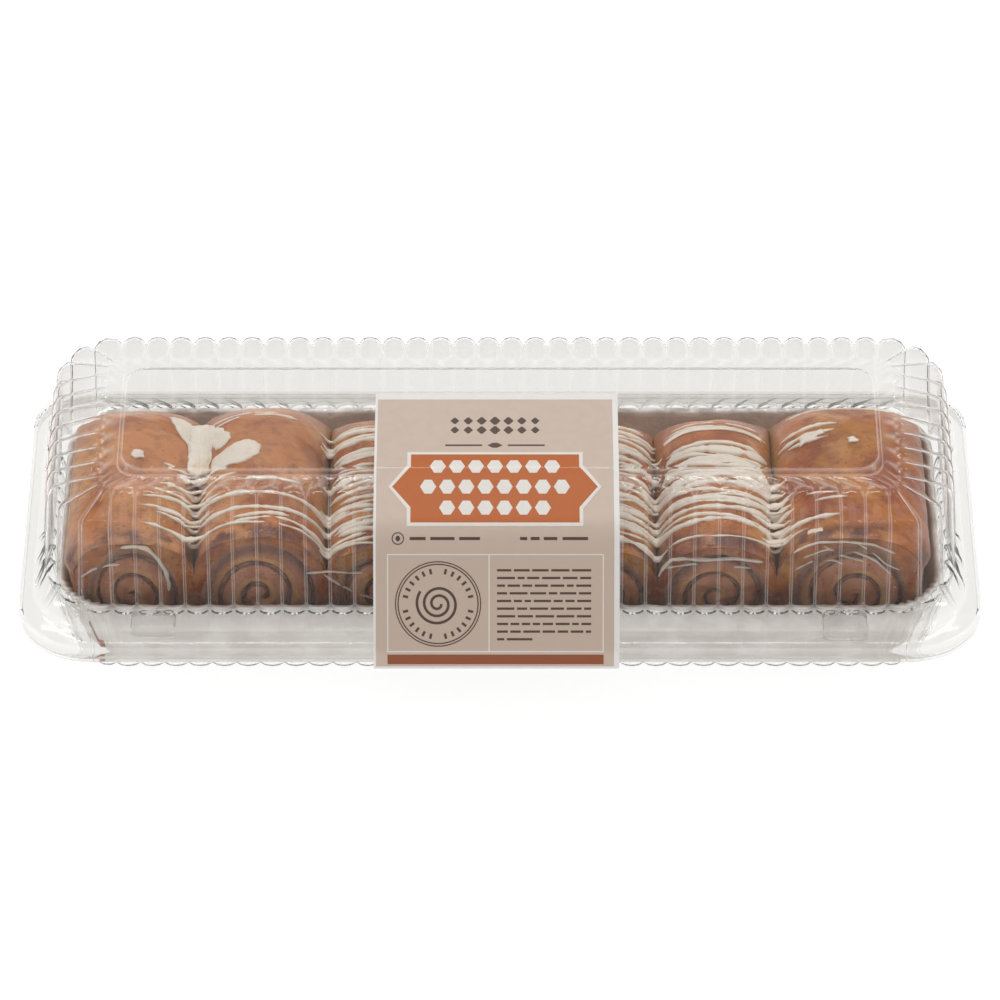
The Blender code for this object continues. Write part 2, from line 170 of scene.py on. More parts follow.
def bumpTo(tree, shader, height, strength, distance):
    bump = addNode(tree, "ShaderNodeBump")
    bump.inputs["Strength"].default_value = strength
    bump.inputs["Distance"].default_value = distance
    feed(tree, bump.inputs["Height"], height)
    tree.links.new(bump.outputs["Normal"], shader.inputs["Normal"])


# Effects that several finishes share, as node groups.

def newGroup(name, inputs, outputs):
    group = bpy.data.node_groups.new(name, "ShaderNodeTree")
    for label, kind, value in inputs:
        socket = group.interface.new_socket(label, in_out="INPUT", socket_type=kind)
        socket.default_value = value
    for label, kind in outputs:
        group.interface.new_socket(label, in_out="OUTPUT", socket_type=kind)
    return group, group.nodes.new("NodeGroupInput"), group.nodes.new("NodeGroupOutput")


def objectNoise(tree, scale, detail, stretch=None):
    place = addNode(tree, "ShaderNodeTexCoord").outputs["Object"]
    if stretch is not None:
        sized = addNode(tree, "ShaderNodeVectorMath", operation="MULTIPLY")
        tree.links.new(place, sized.inputs[0])
        feed(tree, sized.inputs[1], stretch)
        place = sized.outputs[0]
    grain = addNode(tree, "ShaderNodeTexNoise")
    tree.links.new(place, grain.inputs["Vector"])
    feed(tree, grain.inputs["Scale"], scale)
    feed(tree, grain.inputs["Detail"], detail)
    return grain.outputs["Fac"]


def makeBlotches():                          # soft patches of one colour in another
    group, given, out = newGroup(
        "Blotches",
        (("Colour A", "NodeSocketColor", (0.5, 0.5, 0.5, 1)),
         ("Colour B", "NodeSocketColor", (0.4, 0.4, 0.4, 1)),
         ("Scale", "NodeSocketFloat", 60.0),
         ("Edge Low", "NodeSocketFloat", 0.4),
         ("Edge High", "NodeSocketFloat", 0.6)),
        (("Colour", "NodeSocketColor"),))
    patches = objectNoise(group, given.outputs["Scale"], 4.0)
    soft = stepUp(group, patches, given.outputs["Edge Low"], given.outputs["Edge High"])
    mixed = mixColours(group, soft, given.outputs["Colour A"], given.outputs["Colour B"])
    group.links.new(mixed, out.inputs["Colour"])
    return group


def makeCrumb():                             # fine pits and grains for dough, icing and paste
    group, given, out = newGroup(
        "CrumbRelief",
        (("Scale", "NodeSocketFloat", 900.0), ("Pit Scale", "NodeSocketFloat", 500.0),
         ("Pits", "NodeSocketFloat", 0.5)),
        (("Height", "NodeSocketFloat"),))
    grain = objectNoise(group, given.outputs["Scale"], 5.0)
    place = addNode(group, "ShaderNodeTexCoord").outputs["Object"]
    cells = addNode(group, "ShaderNodeTexVoronoi")
    group.links.new(place, cells.inputs["Vector"])
    group.links.new(given.outputs["Pit Scale"], cells.inputs["Scale"])
    pit = mathNode(group, "SUBTRACT", 1.0, stepUp(group, cells.outputs["Distance"], 0.05, 0.32))
    sunk = mathNode(group, "MULTIPLY", pit, given.outputs["Pits"])
    group.links.new(mathNode(group, "SUBTRACT", grain, sunk), out.inputs["Height"])
    return group


def makeRipples():                           # slow waves and fine scuffs of formed sheet and foil
    group, given, out = newGroup(
        "SheetRipples",
        (("Wave Scale", "NodeSocketFloat", 45.0), ("Scuff Scale", "NodeSocketFloat", 700.0),
         ("Scuffs", "NodeSocketFloat", 0.2)),
        (("Height", "NodeSocketFloat"), ("Scuff Mask", "NodeSocketFloat")))
    wave = objectNoise(group, given.outputs["Wave Scale"], 2.0)
    fine = objectNoise(group, given.outputs["Scuff Scale"], 3.0)
    scuff = stepUp(group, fine, 0.55, 0.75)
    part = mathNode(group, "MULTIPLY", scuff, given.outputs["Scuffs"])
    group.links.new(mathNode(group, "ADD", wave, part), out.inputs["Height"])
    group.links.new(scuff, out.inputs["Scuff Mask"])
    return group


blotches = makeBlotches()
crumb = makeCrumb()
ripples = makeRipples()


def useGroup(tree, group, **values):
    made = addNode(tree, "ShaderNodeGroup", node_tree=group)
    for key, value in values.items():
        feed(tree, made.inputs[key.replace("_", " ")], value)
    return made


# Clear plastic, thin enough that light from the lamps goes straight through.

plastic = {
    "lidTint": (0.895, 0.888, 0.876, 1.0), "baseTint": (0.95, 0.945, 0.936, 1.0),
    "shadowTint": (0.965, 0.96, 0.955, 1.0),
    "clearness": 0.991,                      # the rest scatters, which gives the milky look
    "roughness": 0.03,
    "ior": 1.07,                             # low, since a thin sheet hardly bends the view
    "gloss": 0.3, "glossRoughness": 0.06, "glossIor": 1.5,
    # fold colours: a darker tint as painted shade and a faint glow as painted highlight
    "foldPaintedShade": (0.72, 0.71, 0.70, 1.0), "foldPaintedHighlight": (0.15, 0.149, 0.146, 1.0),
    "waveScale": 38.0, "waveHeight": 0.0001,
    "scuffScale": 420.0, "scuffs": 0.05, "scuffShade": 0.98,
}


def clearPlastic(name, tint):
    made, tree, shader = newMaterial(name, Roughness=plastic["roughness"], IOR=plastic["ior"])
    shader.inputs["Transmission Weight"].default_value = plastic["clearness"]
    shader.inputs["Coat Weight"].default_value = plastic["gloss"]
    shader.inputs["Coat Roughness"].default_value = plastic["glossRoughness"]
    shader.inputs["Coat IOR"].default_value = plastic["glossIor"]
    relief = useGroup(tree, ripples, Wave_Scale=plastic["waveScale"],
                      Scuff_Scale=plastic["scuffScale"], Scuffs=plastic["scuffs"])
    scuffed = mixColours(tree, relief.outputs["Scuff Mask"], tint,
                         tuple(plastic["scuffShade"] * c for c in tint[:3]) + (1.0,))
    fold = readMask(tree, "fold")            # painted highlight and painted shade along the folds: the colour darkens there and a faint glow lights them
    folded = mixColours(tree, fold, scuffed, plastic["foldPaintedShade"])
    tree.links.new(folded, shader.inputs["Base Color"])
    # painted highlight: the folds glow a little, though they are no lamp
    paintedGlow = mixColours(tree, fold, (0.0, 0.0, 0.0, 1.0), plastic["foldPaintedHighlight"])
    tree.links.new(paintedGlow, shader.inputs["Emission Color"])
    shader.inputs["Emission Strength"].default_value = 1.0
    bumpTo(tree, shader, relief.outputs["Height"], 1.0, plastic["waveHeight"])
    clear = addNode(tree, "ShaderNodeBsdfTransparent")
    clear.inputs["Color"].default_value = plastic["shadowTint"]
    path = addNode(tree, "ShaderNodeLightPath")
    mix = addNode(tree, "ShaderNodeMixShader")
    tree.links.new(path.outputs["Is Shadow Ray"], mix.inputs[0])
    tree.links.new(shader.outputs[0], mix.inputs[1])
    tree.links.new(clear.outputs[0], mix.inputs[2])
    tree.links.new(mix.outputs[0], tree.nodes["Material Output"].inputs["Surface"])
    return made


# The fluted clamshell. Reaches are counted outwards from a rounded core, as (x, y).

clamshell = {
    "coreLength": 132.4 * mm, "coreDepth": 28.0 * mm,
    "longFlutes": 32, "endFlutes": 7, "cornerFlutes": 3,
    "fluteSteps": (0.0, 0.025, 0.045, 0.07, 0.22, 0.5, 0.78, 0.93, 0.955, 0.975),  # across one
    "lineWidth": 0.06, "tipLineWidth": 0.16,
    "fluteDepth": 2.6 * mm, "fluteWidth": 0.91, "fluteRoundness": 0.6,
    "archLength": 4.6 * mm, "archRise": 1.5 * mm, "shoulderRise": 1.8 * mm,
    "wall": 0.5 * mm, "innerShare": 0.96,
    "panelLength": 129.5 * mm, "panelDepth": 27.6 * mm, "panelCorner": 8.5 * mm,
    "panelStep": 1.9 * mm, "panelFlare": 1.3 * mm, "panelFootCorner": 6.0 * mm,
    "archReach": (3.0 * mm, 6.0 * mm), "shoulderReach": (20.4 * mm, 22.0 * mm),
    "shoulderHeight": 62.5 * mm, "shoulderRound": 2.2 * mm,
    "footReach": (22.6 * mm, 25.0 * mm),
    "plateHeight": 30.2 * mm, "edgeHeight": 28.7 * mm,
    "flangeLength": lidBox[1].x, "flangeRear": rearFlange,
    "flangeFront": domeMiddle - lidBox[0].y, "flangeCorners": (19.0 * mm, 26.0 * mm),
    "stepLength": 160.0 * mm, "stepRear": 60.0 * mm, "stepFront": 65.0 * mm,
    "stepCorners": (17.0 * mm, 23.0 * mm),
    "skirtBottom": lidBox[0].z,
    "baseInside": 1.3 * mm, "baseSkirtShorter": 0.8 * mm, "baseUnder": 1.6 * mm,
    "baseTopReach": (21.8 * mm, 25.3 * mm), "baseHeelReach": (15.4 * mm, 22.6 * mm),
    "baseHeelHeight": 2.2 * mm, "baseFloorReach": (12.5 * mm, 19.6 * mm),
    "baseFloorCorner": 16.0 * mm, "baseGap": 0.3 * mm,
    "slopeDrop": 0.3 * mm, "slopeDepth": 0.75, "tipRise": 0.55, "wallDrop": 1.1,
    "innerPanel": (20 * mm, 12 * mm, 5 * mm, 1.0 * mm, 0.35 * mm),  # how far in from its edge
    # rings as how far out, how far down and, for the lid, how folded
    "panelRings": ((0.0, 0.12, 0.9), (0.18, 0.35, 0.3), (0.75, 0.8, 0.0), (1.0, 0.95, 0.9),
                   (1.35, 1.0, 0.1)),
    "footRings": ((0.1 * mm, -0.25 * mm, 0.6), (0.3 * mm, -0.06 * mm, 0.6), (0.6 * mm, 0.0, 0.0)),
    "stepRings": ((-0.3 * mm, 0.0, 0.3), (0.1 * mm, 0.2, 0.6), (0.6 * mm, 0.85, 0.5),
                  (1.0 * mm, 1.0, 0.0)),
    "edgeRings": ((-1.0 * mm, 0.0, 0.0), (-0.45 * mm, 0.03 * mm, 0.5), (-0.12 * mm, 0.2 * mm, 0.8),
                  (0.0, 0.55 * mm, 0.6), (0.0, 2.6 * mm, 0.0)),
    "baseStepRings": ((-0.4 * mm, 0.0), (0.0, 0.25), (0.6 * mm, 1.0)),
    # rings as shares of the slope, the shoulder's round, the wall and the base's wall
    "slopeShares": (0.0, 0.014, 0.03, 0.05, 0.075, 0.105, 0.14, 0.18, 0.23, 0.3, 0.4, 0.55, 0.72),
    "roundShares": (0.25, 0.5, 0.75, 1.0),
    "wallShares": (0.12, 0.3, 0.5, 0.7, 0.88, 0.965),
    "baseWallShares": (0.15, 0.35, 0.55, 0.75, 0.92, 1.0),
    "heelRings": ((0.55, 0.12, 0.3), (0.85, 0.4, 0.7), (1.0, 1.0, 0.88)),  # out, up, flute depth
    "heelFold": 0.6, "baseFold": 0.4, "skirtFold": 0.5,
    "floorScales": (0.3, 0.7, 0.97),
}


def outlineAt(t, rear, front):               # rear and front corners: straight x, y, round x, y
    corners = np.array((rear, rear, front, front))
    signs = np.array(((1, 1), (-1, 1), (-1, -1), (1, -1)))
    part = np.floor(t).astype(int) % 8
    along = (t - np.floor(t))[:, None]
    quarter = part // 2
    centre = signs * corners[:, :2]
    here = centre[quarter]
    before = centre[quarter - 1]
    turn = np.where(part % 2 == 1, quarter + along[:, 0], quarter) * math.pi / 2
    normal = np.stack((np.cos(turn), np.sin(turn)), axis=1)
    middle = np.where((part % 2 == 1)[:, None], here, before + (here - before) * along)
    reach = corners[quarter][:, 2:]
    reachBefore = corners[quarter - 1][:, 2:]
    reach = np.where((part % 2 == 1)[:, None], reach, reachBefore + (reach - reachBefore) * along)
    return middle + reach * normal, normal


def fluteColumns():
    phases = np.array(clamshell["fluteSteps"])
    t = []
    phase = []
    for part in range(8):
        count = clamshell["cornerFlutes"] if part % 2 else (
            clamshell["longFlutes"] if part % 4 else clamshell["endFlutes"])
        for index in range(count):
            t += list(part + (index + phases) / count)
            phase += list(phases)
    return np.array(t), np.array(phase)


columnPlaces, columnPhases = fluteColumns()


def plainRing(halfX, halfY, corner, height, middle=0.0):
    corners = corner if isinstance(corner, tuple) else (corner, corner)
    sides = [(halfX - r, halfY - r, r, r) for r in corners]
    points, _ = outlineAt(columnPlaces, *sides)
    heights = np.full(len(points), height)
    return np.column_stack((points[:, 0], points[:, 1] + middle + domeMiddle, heights))


def flangeRing(halfX, rear, front, corners, height):
    return plainRing(halfX, (front + rear) / 2, corners, height, (rear - front) / 2)


def ribShare(fromTip=None):                  # 1 on a flute's crest, 0 on its outline, less beyond
    left = 1 - ((2 * columnPhases - 1) / clamshell["fluteWidth"]) ** 2
    return left if fromTip is None or fromTip >= 1 else left - (1 - fromTip) ** 2


def ribLine(fromTip=None):                   # 1 along the outline of the flutes
    width = clamshell["lineWidth"]
    if fromTip is not None:
        width += clamshell["tipLineWidth"] * max(0.0, 1 - fromTip)
    return np.exp(-(ribShare(fromTip) / width) ** 2)


def flutedRing(reach, height, out, up, fromTip=None):
    straight = (clamshell["coreLength"], clamshell["coreDepth"])
    side = (*straight, *reach)
    points, normal = outlineAt(columnPlaces, side, side)
    bulge = (np.clip(ribShare(fromTip), 0, 1) ** clamshell["fluteRoundness"])[:, None]
    points = points + normal * bulge * out
    return np.column_stack((points[:, 0], points[:, 1] + domeMiddle, height + up * bulge[:, 0]))


def blend(first, second, share):
    return tuple(a + (b - a) * share for a, b in zip(first, second))


def grown(reach, change):
    return tuple(r + change for r in reach)


class Rings:                                 # a surface's rings, with how folded each point is
    def __init__(self):
        self.points = []
        self.folds = []

    def add(self, ring, fold=0.0):
        self.points.append(ring)
        self.folds.append(np.zeros(len(ring)) + fold)


def lidSurface(inset, share):
    c = clamshell
    top = lidBox[1].z - inset
    foot = top - c["panelStep"]
    out = c["fluteDepth"] * share
    rings = Rings()
    for pull in c["innerPanel"]:
        corner = max(c["panelCorner"] - pull, 1.5 * mm)
        rings.add(plainRing(c["panelLength"] - pull, c["panelDepth"] - pull, corner, top))
    for grow, drop, fold in c["panelRings"]:
        corner = c["panelCorner"] + (c["panelFootCorner"] - c["panelCorner"]) * drop
        sink = drop * c["panelStep"]
        rings.add(plainRing(c["panelLength"] + grow * c["panelFlare"],
                            c["panelDepth"] + grow * c["panelFlare"], corner, top - sink), fold)
    run = c["shoulderReach"][1] - c["archReach"][1]
    slopeStart = foot - c["slopeDrop"]
    shoulder = c["shoulderHeight"] - inset
    outer = grown(c["shoulderReach"], -inset)
    rounding = c["shoulderRound"] / run
    for s in (*c["slopeShares"], 1 - rounding):
        tip = s * run / c["archLength"]
        rise = c["tipRise"] + (1 - c["tipRise"]) * min(1.0, tip / 2)
        up = (c["archRise"] + (c["shoulderRise"] - c["archRise"]) * s) * rise
        rings.add(flutedRing(blend(c["archReach"], outer, s),
                             slopeStart + (shoulder - slopeStart) * s,
                             out * c["slopeDepth"] * s ** 2, up * share, tip), ribLine(tip))
    plate = c["plateHeight"] - inset
    wallTop = shoulder - c["shoulderRound"] * c["wallDrop"]
    footReach = grown(c["footReach"], -inset)
    bendFrom = (1 - rounding, slopeStart + (shoulder - slopeStart) * (1 - rounding))
    lean = (shoulder - wallTop) / (shoulder - plate)
    for k in c["roundShares"]:               # from the slope to the wall
        a, b, d = (1 - k) ** 2, 2 * k * (1 - k), k ** 2
        start = blend(c["archReach"], outer, bendFrom[0])
        end = blend(outer, footReach, lean)
        reach = tuple(a * s + b * o + d * e for s, o, e in zip(start, outer, end))
        height = a * bendFrom[1] + b * shoulder + d * wallTop
        deep = out * (c["slopeDepth"] + (1 - c["slopeDepth"]) * k)
        rings.add(flutedRing(reach, height, deep, c["shoulderRise"] * share * (1 - k ** 1.5)),
                  ribLine())
    for k in c["wallShares"]:
        reach = blend(blend(outer, footReach, lean), footReach, k)
        rings.add(flutedRing(reach, wallTop + (plate - wallTop) * k, out, 0.0), ribLine())
    for grow, fall, fold in c["footRings"]:
        rings.add(flutedRing(grown(footReach, grow), plate - fall, out, 0.0), fold)
    edge = c["edgeHeight"] - inset
    step = (c["stepLength"] - inset, c["stepRear"] - inset, c["stepFront"] - inset)
    for grow, fall, fold in c["stepRings"]:
        sides = [s + grow for s in step]
        rings.add(flangeRing(*sides, c["stepCorners"], plate + (edge - plate) * fall), fold)
    sides = (c["flangeLength"] - inset, c["flangeRear"] - inset, c["flangeFront"] - inset)
    corners = tuple(r - inset for r in c["flangeCorners"])
    for grow, fall, fold in c["edgeRings"]:
        rings.add(flangeRing(*[s + grow for s in sides], corners, edge - fall), fold)
    rings.add(flangeRing(*sides, corners, c["skirtBottom"]), c["skirtFold"])
    return rings


def baseSurface(inset, share):
    c = clamshell
    floor = plainRing(c["coreLength"] + c["baseFloorReach"][0],
                      c["coreDepth"] + c["baseFloorReach"][1], c["baseFloorCorner"], inset)
    heel = grown(c["baseHeelReach"], -inset)
    topReach = grown(c["baseTopReach"], -inset)
    out = c["fluteDepth"] * share
    middle = floor.mean(axis=0)
    rings = Rings()
    for scale in c["floorScales"]:
        rings.add(middle + (floor - middle) * (scale, scale, 1.0))
    rings.add(floor, c["baseFold"])
    for grow, high, part in c["heelRings"]:
        reach = blend(c["baseFloorReach"], heel, grow)
        rings.add(flutedRing(reach, inset + c["baseHeelHeight"] * high, out * part, 0.0),
                  np.maximum(c["baseFold"] * ribLine(), c["heelFold"] * high ** 2))
    plate = c["plateHeight"] - c["baseUnder"] - 2 * c["wall"] + inset
    low = inset + c["baseHeelHeight"]
    for k in c["baseWallShares"]:
        rings.add(flutedRing(blend(heel, topReach, k), low + (plate - low) * k, out, 0.0),
                  c["baseFold"] * ribLine())
    edge = c["edgeHeight"] - c["baseGap"] - 2 * c["wall"] + inset
    within = inset - c["baseInside"]
    step = [c["stepLength"] + within, c["stepRear"] + within, c["stepFront"] + within]
    for grow, fall in c["baseStepRings"]:
        sides = [s + grow for s in step]
        rings.add(flangeRing(*sides, c["stepCorners"], plate + (edge - plate) * fall))
    sides = [c["flangeLength"] + within, c["flangeRear"] + within, c["flangeFront"] + within]
    corners = tuple(r - c["baseInside"] for r in c["flangeCorners"])
    bottom = c["skirtBottom"] + c["baseSkirtShorter"]
    for grow, height in ((-0.5 * mm, edge), (-0.1 * mm, edge - 0.25 * mm), (0.0, bottom)):
        rings.add(flangeRing(*[s + grow for s in sides], corners, height))
    return rings


studs = {"places": (-118.2 * mm, 117.6 * mm), "width": 15.8 * mm, "near": 56.8 * mm,
         "far": (67.8 * mm, 70.0 * mm), "height": 1.4 * mm, "corner": 2.8 * mm,
         "wall": 0.3 * mm, "steps": 64,
         # how far down from the top and in from the edge
         "profile": ((0.8 * mm, 0.25 * mm), (0.25 * mm, 0.45 * mm), (0.0, 1.0 * mm), (0.0, 2.4 * mm))}


def pressStud(centreX, far):                 # a low hollow button in the flange
    foot = clamshell["edgeHeight"] - clamshell["wall"] / 2
    top = clamshell["plateHeight"] + studs["height"]
    half = (studs["width"] / 2, (far - studs["near"]) / 2)
    middle = domeMiddle - (studs["near"] + far) / 2
    turns = np.linspace(0, 8, studs["steps"], endpoint=False)
    rings = []
    profile = [(foot, 0.0)] + [(top - down, shrink) for down, shrink in studs["profile"]]
    thin = studs["wall"]
    hollow = [(height - thin if shrink > 0 else foot, shrink + thin) for height, shrink in profile]
    for height, shrink in hollow[::-1] + profile:
        r = max(studs["corner"] - shrink, 0.5 * mm)
        side = (half[0] - shrink - r, half[1] - shrink - r, r, r)
        points, _ = outlineAt(turns, side, side)
        rings.append(np.column_stack((points[:, 0] + centreX, points[:, 1] + middle,
                                      np.full(len(points), height))))
    return rings


def addShell(name, outer, inner, material, node):
    mesh = closedRings(name, outer.points + inner.points[::-1])
    addMask(mesh, "fold", outer.folds + inner.folds[::-1])
    addPiece(name, mesh, material, (node,))


def makeClamshell():
    wall = clamshell["wall"]
    inner = (wall, clamshell["innerShare"])
    clearLid = clearPlastic("ClearLidPlastic", plastic["lidTint"])
    clearBase = clearPlastic("ClearBasePlastic", plastic["baseTint"])
    addShell("lidShell", lidSurface(0.0, 1.0), lidSurface(*inner), clearLid, "clamshell_lid")
    addShell("baseShell", baseSurface(0.0, 1.0), baseSurface(*inner), clearBase, "clamshell_base")
    for side, (centreX, far) in enumerate(zip(studs["places"], studs["far"])):
        stud = closedRings("pressStud_%d" % (side + 1), pressStud(centreX, far))
        addPiece("pressStud_%d" % (side + 1), stud, clearBase, ())


# The foil tray.

tray = {
    "rim": (152.5 * mm, 54.5 * mm), "top": (150.3 * mm, 52.1 * mm), "floor": (144.6 * mm, 44.6 * mm),
    "rimHeight": 28.4 * mm, "rimThickness": 1.0 * mm, "floorHeight": trayBox[0].z,
    "wall": 0.25 * mm, "corner": 19.0 * mm, "floorCorner": 16.0 * mm, "rimCorner": 21.0 * mm,
    "columns": (60, 36, 150, 36) * 2,        # points on each side and corner
    "seed": 8,
    "pleatCount": 420, "pleatDepth": 0.22 * mm, "cornerPleats": 0.75 * mm,
    "rimWave": 0.35 * mm, "levels": (0.0, 0.12, 0.35, 0.6, 0.8, 0.93),
    # the rolled rim: outline, how far out and up in mm, how pleated and how wavy
    "lip": (("top", 0.0, 0.0, 0.7, 0.0), ("rim", -0.4, -0.2, 0.5, 0.5), ("rim", 0.0, 0.35, 0.5, 0.6),
            ("rim", -0.35, 0.9, 0.5, 0.7), ("rim", -0.9, 1.0, 0.5, 0.8), ("top", 0.3, 0.75, 0.7, 0.8),
            ("top", -0.25, 0.2, 0.9, 0.2)),
    "roughness": 0.4, "stainRoughness": 0.25, "metal": 0.42, "stainMetal": 0.35,
    "stainHalf": 1.6 * mm, "stainDrop": 0.6 * mm, "rearStain": 0.6, "endStain": 0.4,
    "foil": rgb(244, 242, 238), "shade": rgb(228, 225, 218), "syrup": rgb(128, 98, 70),
}


def foilFinish():
    made, tree, shader = newMaterial("CrinkledFoil")
    relief = useGroup(tree, ripples, Wave_Scale=260.0, Scuff_Scale=1500.0, Scuffs=0.3)
    patches = useGroup(tree, blotches, Colour_A=tray["foil"], Colour_B=tray["shade"], Scale=70.0)
    stain = mathNode(tree, "MULTIPLY", readMask(tree, "syrup"),
                     stepUp(tree, objectNoise(tree, 150.0, 5.0), 0.36, 0.7))
    colour = mixColours(tree, stain, patches.outputs["Colour"], tray["syrup"])
    tree.links.new(colour, shader.inputs["Base Color"])
    dull = mathNode(tree, "MULTIPLY_ADD", stain, tray["stainRoughness"], tray["roughness"])
    tree.links.new(dull, shader.inputs["Roughness"])
    metal = mathNode(tree, "SUBTRACT", tray["metal"],
                     mathNode(tree, "MULTIPLY", stain, tray["stainMetal"]))
    tree.links.new(metal, shader.inputs["Metallic"])
    bumpTo(tree, shader, relief.outputs["Height"], 0.9, 0.0005)
    return made


def makeTray():
    t = np.concatenate([np.linspace(part, part + 1, count, endpoint=False)
                        for part, count in enumerate(tray["columns"])])
    part = np.floor(t).astype(int)
    onCorner = np.where(part % 2 == 1, np.sin((t - part) * math.pi), 0.0)
    maker = np.random.default_rng(tray["seed"])
    uneven = maker.normal(0, 1, len(t))
    uneven = (uneven + np.roll(uneven, 1)) / 2
    pleats = np.sin(t / 8 * tray["pleatCount"] * math.pi) + 0.5 * uneven
    depth = tray["pleatDepth"] + tray["cornerPleats"] * onCorner

    def ring(half, corner, height, pleat=0.0, wave=0.0):
        side = (half[0] - corner, half[1] - corner, corner, corner)
        points, normal = outlineAt(t, side, side)
        strong = 0.2 + 0.8 * np.clip(-2 * normal[:, 1], 0, 1)
        points = points + normal * (pleats * depth * pleat * strong)[:, None]
        heights = height + wave * tray["rimWave"] * uneven * strong
        return np.column_stack((points[:, 0], points[:, 1] + domeMiddle, heights))

    outer = []
    for k in tray["levels"]:
        corner = tray["floorCorner"] + (tray["corner"] - tray["floorCorner"]) * k
        height = tray["floorHeight"] + (tray["rimHeight"] - tray["floorHeight"]) * k
        outer.append((blend(tray["floor"], tray["top"], k), corner, height, min(1.0, 4 * k)))
    rings = [ring(*level) for level in outer]
    corners = {"top": tray["corner"], "rim": tray["rimCorner"]}
    for place, outward, upward, pleat, wave in tray["lip"]:
        rings.append(ring(grown(tray[place], outward * mm), corners[place],
                          tray["rimHeight"] + upward * mm, pleat, wave))
    wall = tray["wall"]
    for half, corner, height, pleat in outer[::-1]:
        rings.append(ring(grown(half, -wall), corner, height + wall, pleat))
    mesh = closedRings("foilTray", rings)
    heights = np.array([v.co.z for v in mesh.vertices])
    depths = np.array([v.co.y for v in mesh.vertices])
    sides = np.array([abs(v.co.x) for v in mesh.vertices])
    middle = tray["rimHeight"] + tray["rimThickness"] - tray["stainDrop"]
    near = np.exp(-((heights - middle) / tray["stainHalf"]) ** 2)
    rear = np.clip((depths - domeMiddle) / (50 * mm), 0.15, 1) * near * tray["rearStain"]
    ends = near * (sides > 146 * mm) * tray["endStain"]
    addMask(mesh, "syrup", np.maximum(rear, ends))
    addPiece("foilTray", mesh, foilFinish(), ("foil_tray",))


# The loaf of seven rolls. Depths here are counted from the dome's middle line.

rolls = {
    "widths": [w * mm for w in (44.8, 45.1, 38.9, 37.1, 37.4, 40.8, 52.9)],
    "crests": [h * mm for h in (53.5, 56.5, 51.0, 50.5, 50.0, 51.5, 56.0)],
    "backs": [d * mm for d in (43.5, 42.5, 39.0, 38.0, 37.5, 39.0, 43.0)],
    "left": -149.4 * mm, "floor": 1.7 * mm, "frontTop": 47.8 * mm, "frontFloor": 42.8 * mm,
    "backFloor": 38.5 * mm, "frontHeight": 54.0 * mm, "crease": 15.5 * mm,
    "creaseShape": (2.3, 0.55), "shelf": 27.0 * mm, "plateau": 4.0 * mm,
    "cornerShare": 0.09, "cornerPull": 7.5 * mm, "taper": 4.2 * mm,
    "acrossSteps": 54, "stations": 96, "faceRows": 62,
    "lumps": 0.9 * mm, "frontRound": 1.3 * mm,
    "spiralCentre": 27.5 * mm, "spiralTurns": 1.9, "spiralStart": 0.18,
    "spiralMargin": (4.2 * mm, 4.8 * mm), "endTuck": 2.2 * mm,
    "bandBulge": 1.0 * mm, "groove": 0.9 * mm,
    "roundFall": 1.6 * mm, "roundShare": 0.55, "rag": 0.05, "seed": 20,
    "fallFrom": 0.72,                        # share of the way back where the rows start to close up
    "creaseFrom": 0.86, "creaseSoft": 0.12, "creamShare": 0.85,
    "bakeDepth": 3.0 * mm, "bakeHalf": 4.5 * mm, "backRows": (0.25, 0.5, 0.75, 1.0),
}
rollEdges = np.concatenate(([rolls["left"]], rolls["left"] + np.cumsum(rolls["widths"])))
rollWidths = np.array(rolls["widths"])
rollCrests = np.array(rolls["crests"])
rollBacks = np.array(rolls["backs"])


def rollAt(x):
    index = np.clip(np.searchsorted(rollEdges, x, side="right") - 1, 0, len(rollWidths) - 1)
    middle = (rollEdges[index] + rollEdges[index + 1]) / 2
    return index, np.clip((x - middle) / (rollWidths[index] / 2), -1, 1)


def creaseMean(values, index, across):
    neighbour = index + np.where(across > 0, 1, -1)
    inside = (neighbour >= 0) & (neighbour < len(values))
    other = values[np.clip(neighbour, 0, len(values) - 1)]
    return np.where(inside, (values[index] + other) / 2, values[index])


def archHeight(x):
    index, across = rollAt(x)
    low = creaseMean(rollCrests, index, across) - rolls["crease"]
    power, roundness = rolls["creaseShape"]
    return low + (rollCrests[index] - low) * np.clip(1 - np.abs(across) ** power, 0, 1) ** roundness


def backReach(x):
    index, across = rollAt(x)
    weight = np.abs(across) ** 3
    return rollBacks[index] * (1 - weight) + creaseMean(rollBacks, index, across) * weight


def frontDepth(z):
    slope = (rolls["frontTop"] - rolls["frontFloor"]) / (rolls["frontHeight"] - rolls["floor"])
    return -rolls["frontFloor"] - slope * (z - rolls["floor"])


def loafHeight(x, y):
    back = backReach(x)
    fall = np.clip((y - rolls["plateau"]) / (back - rolls["plateau"]), 0, 1)
    return rolls["shelf"] + (archHeight(x) - rolls["shelf"]) * np.sqrt(1 - fall ** 2)


def softHeight(x, y, reach=2.2 * mm):         # what icing follows: it bridges the creases
    low, high = rollEdges[0] + 0.2 * mm, rollEdges[-1] - 0.2 * mm
    around = [loafHeight(np.clip(x + d, low, high), y) for d in np.linspace(-reach, reach, 9)]
    return np.maximum(loafHeight(x, y), np.mean(around, axis=0))


def lumpAt(x, y, z):
    place = Vector((x, y, z))
    return noise.noise(place * 70) * 0.7 + noise.noise(place * 190 + Vector((9, 2, 5))) * 0.3


def spiralStart(roll):                       # the direction that a roll's spiral starts in
    return random.Random(rolls["seed"] + roll).uniform(0, 2 * math.pi)


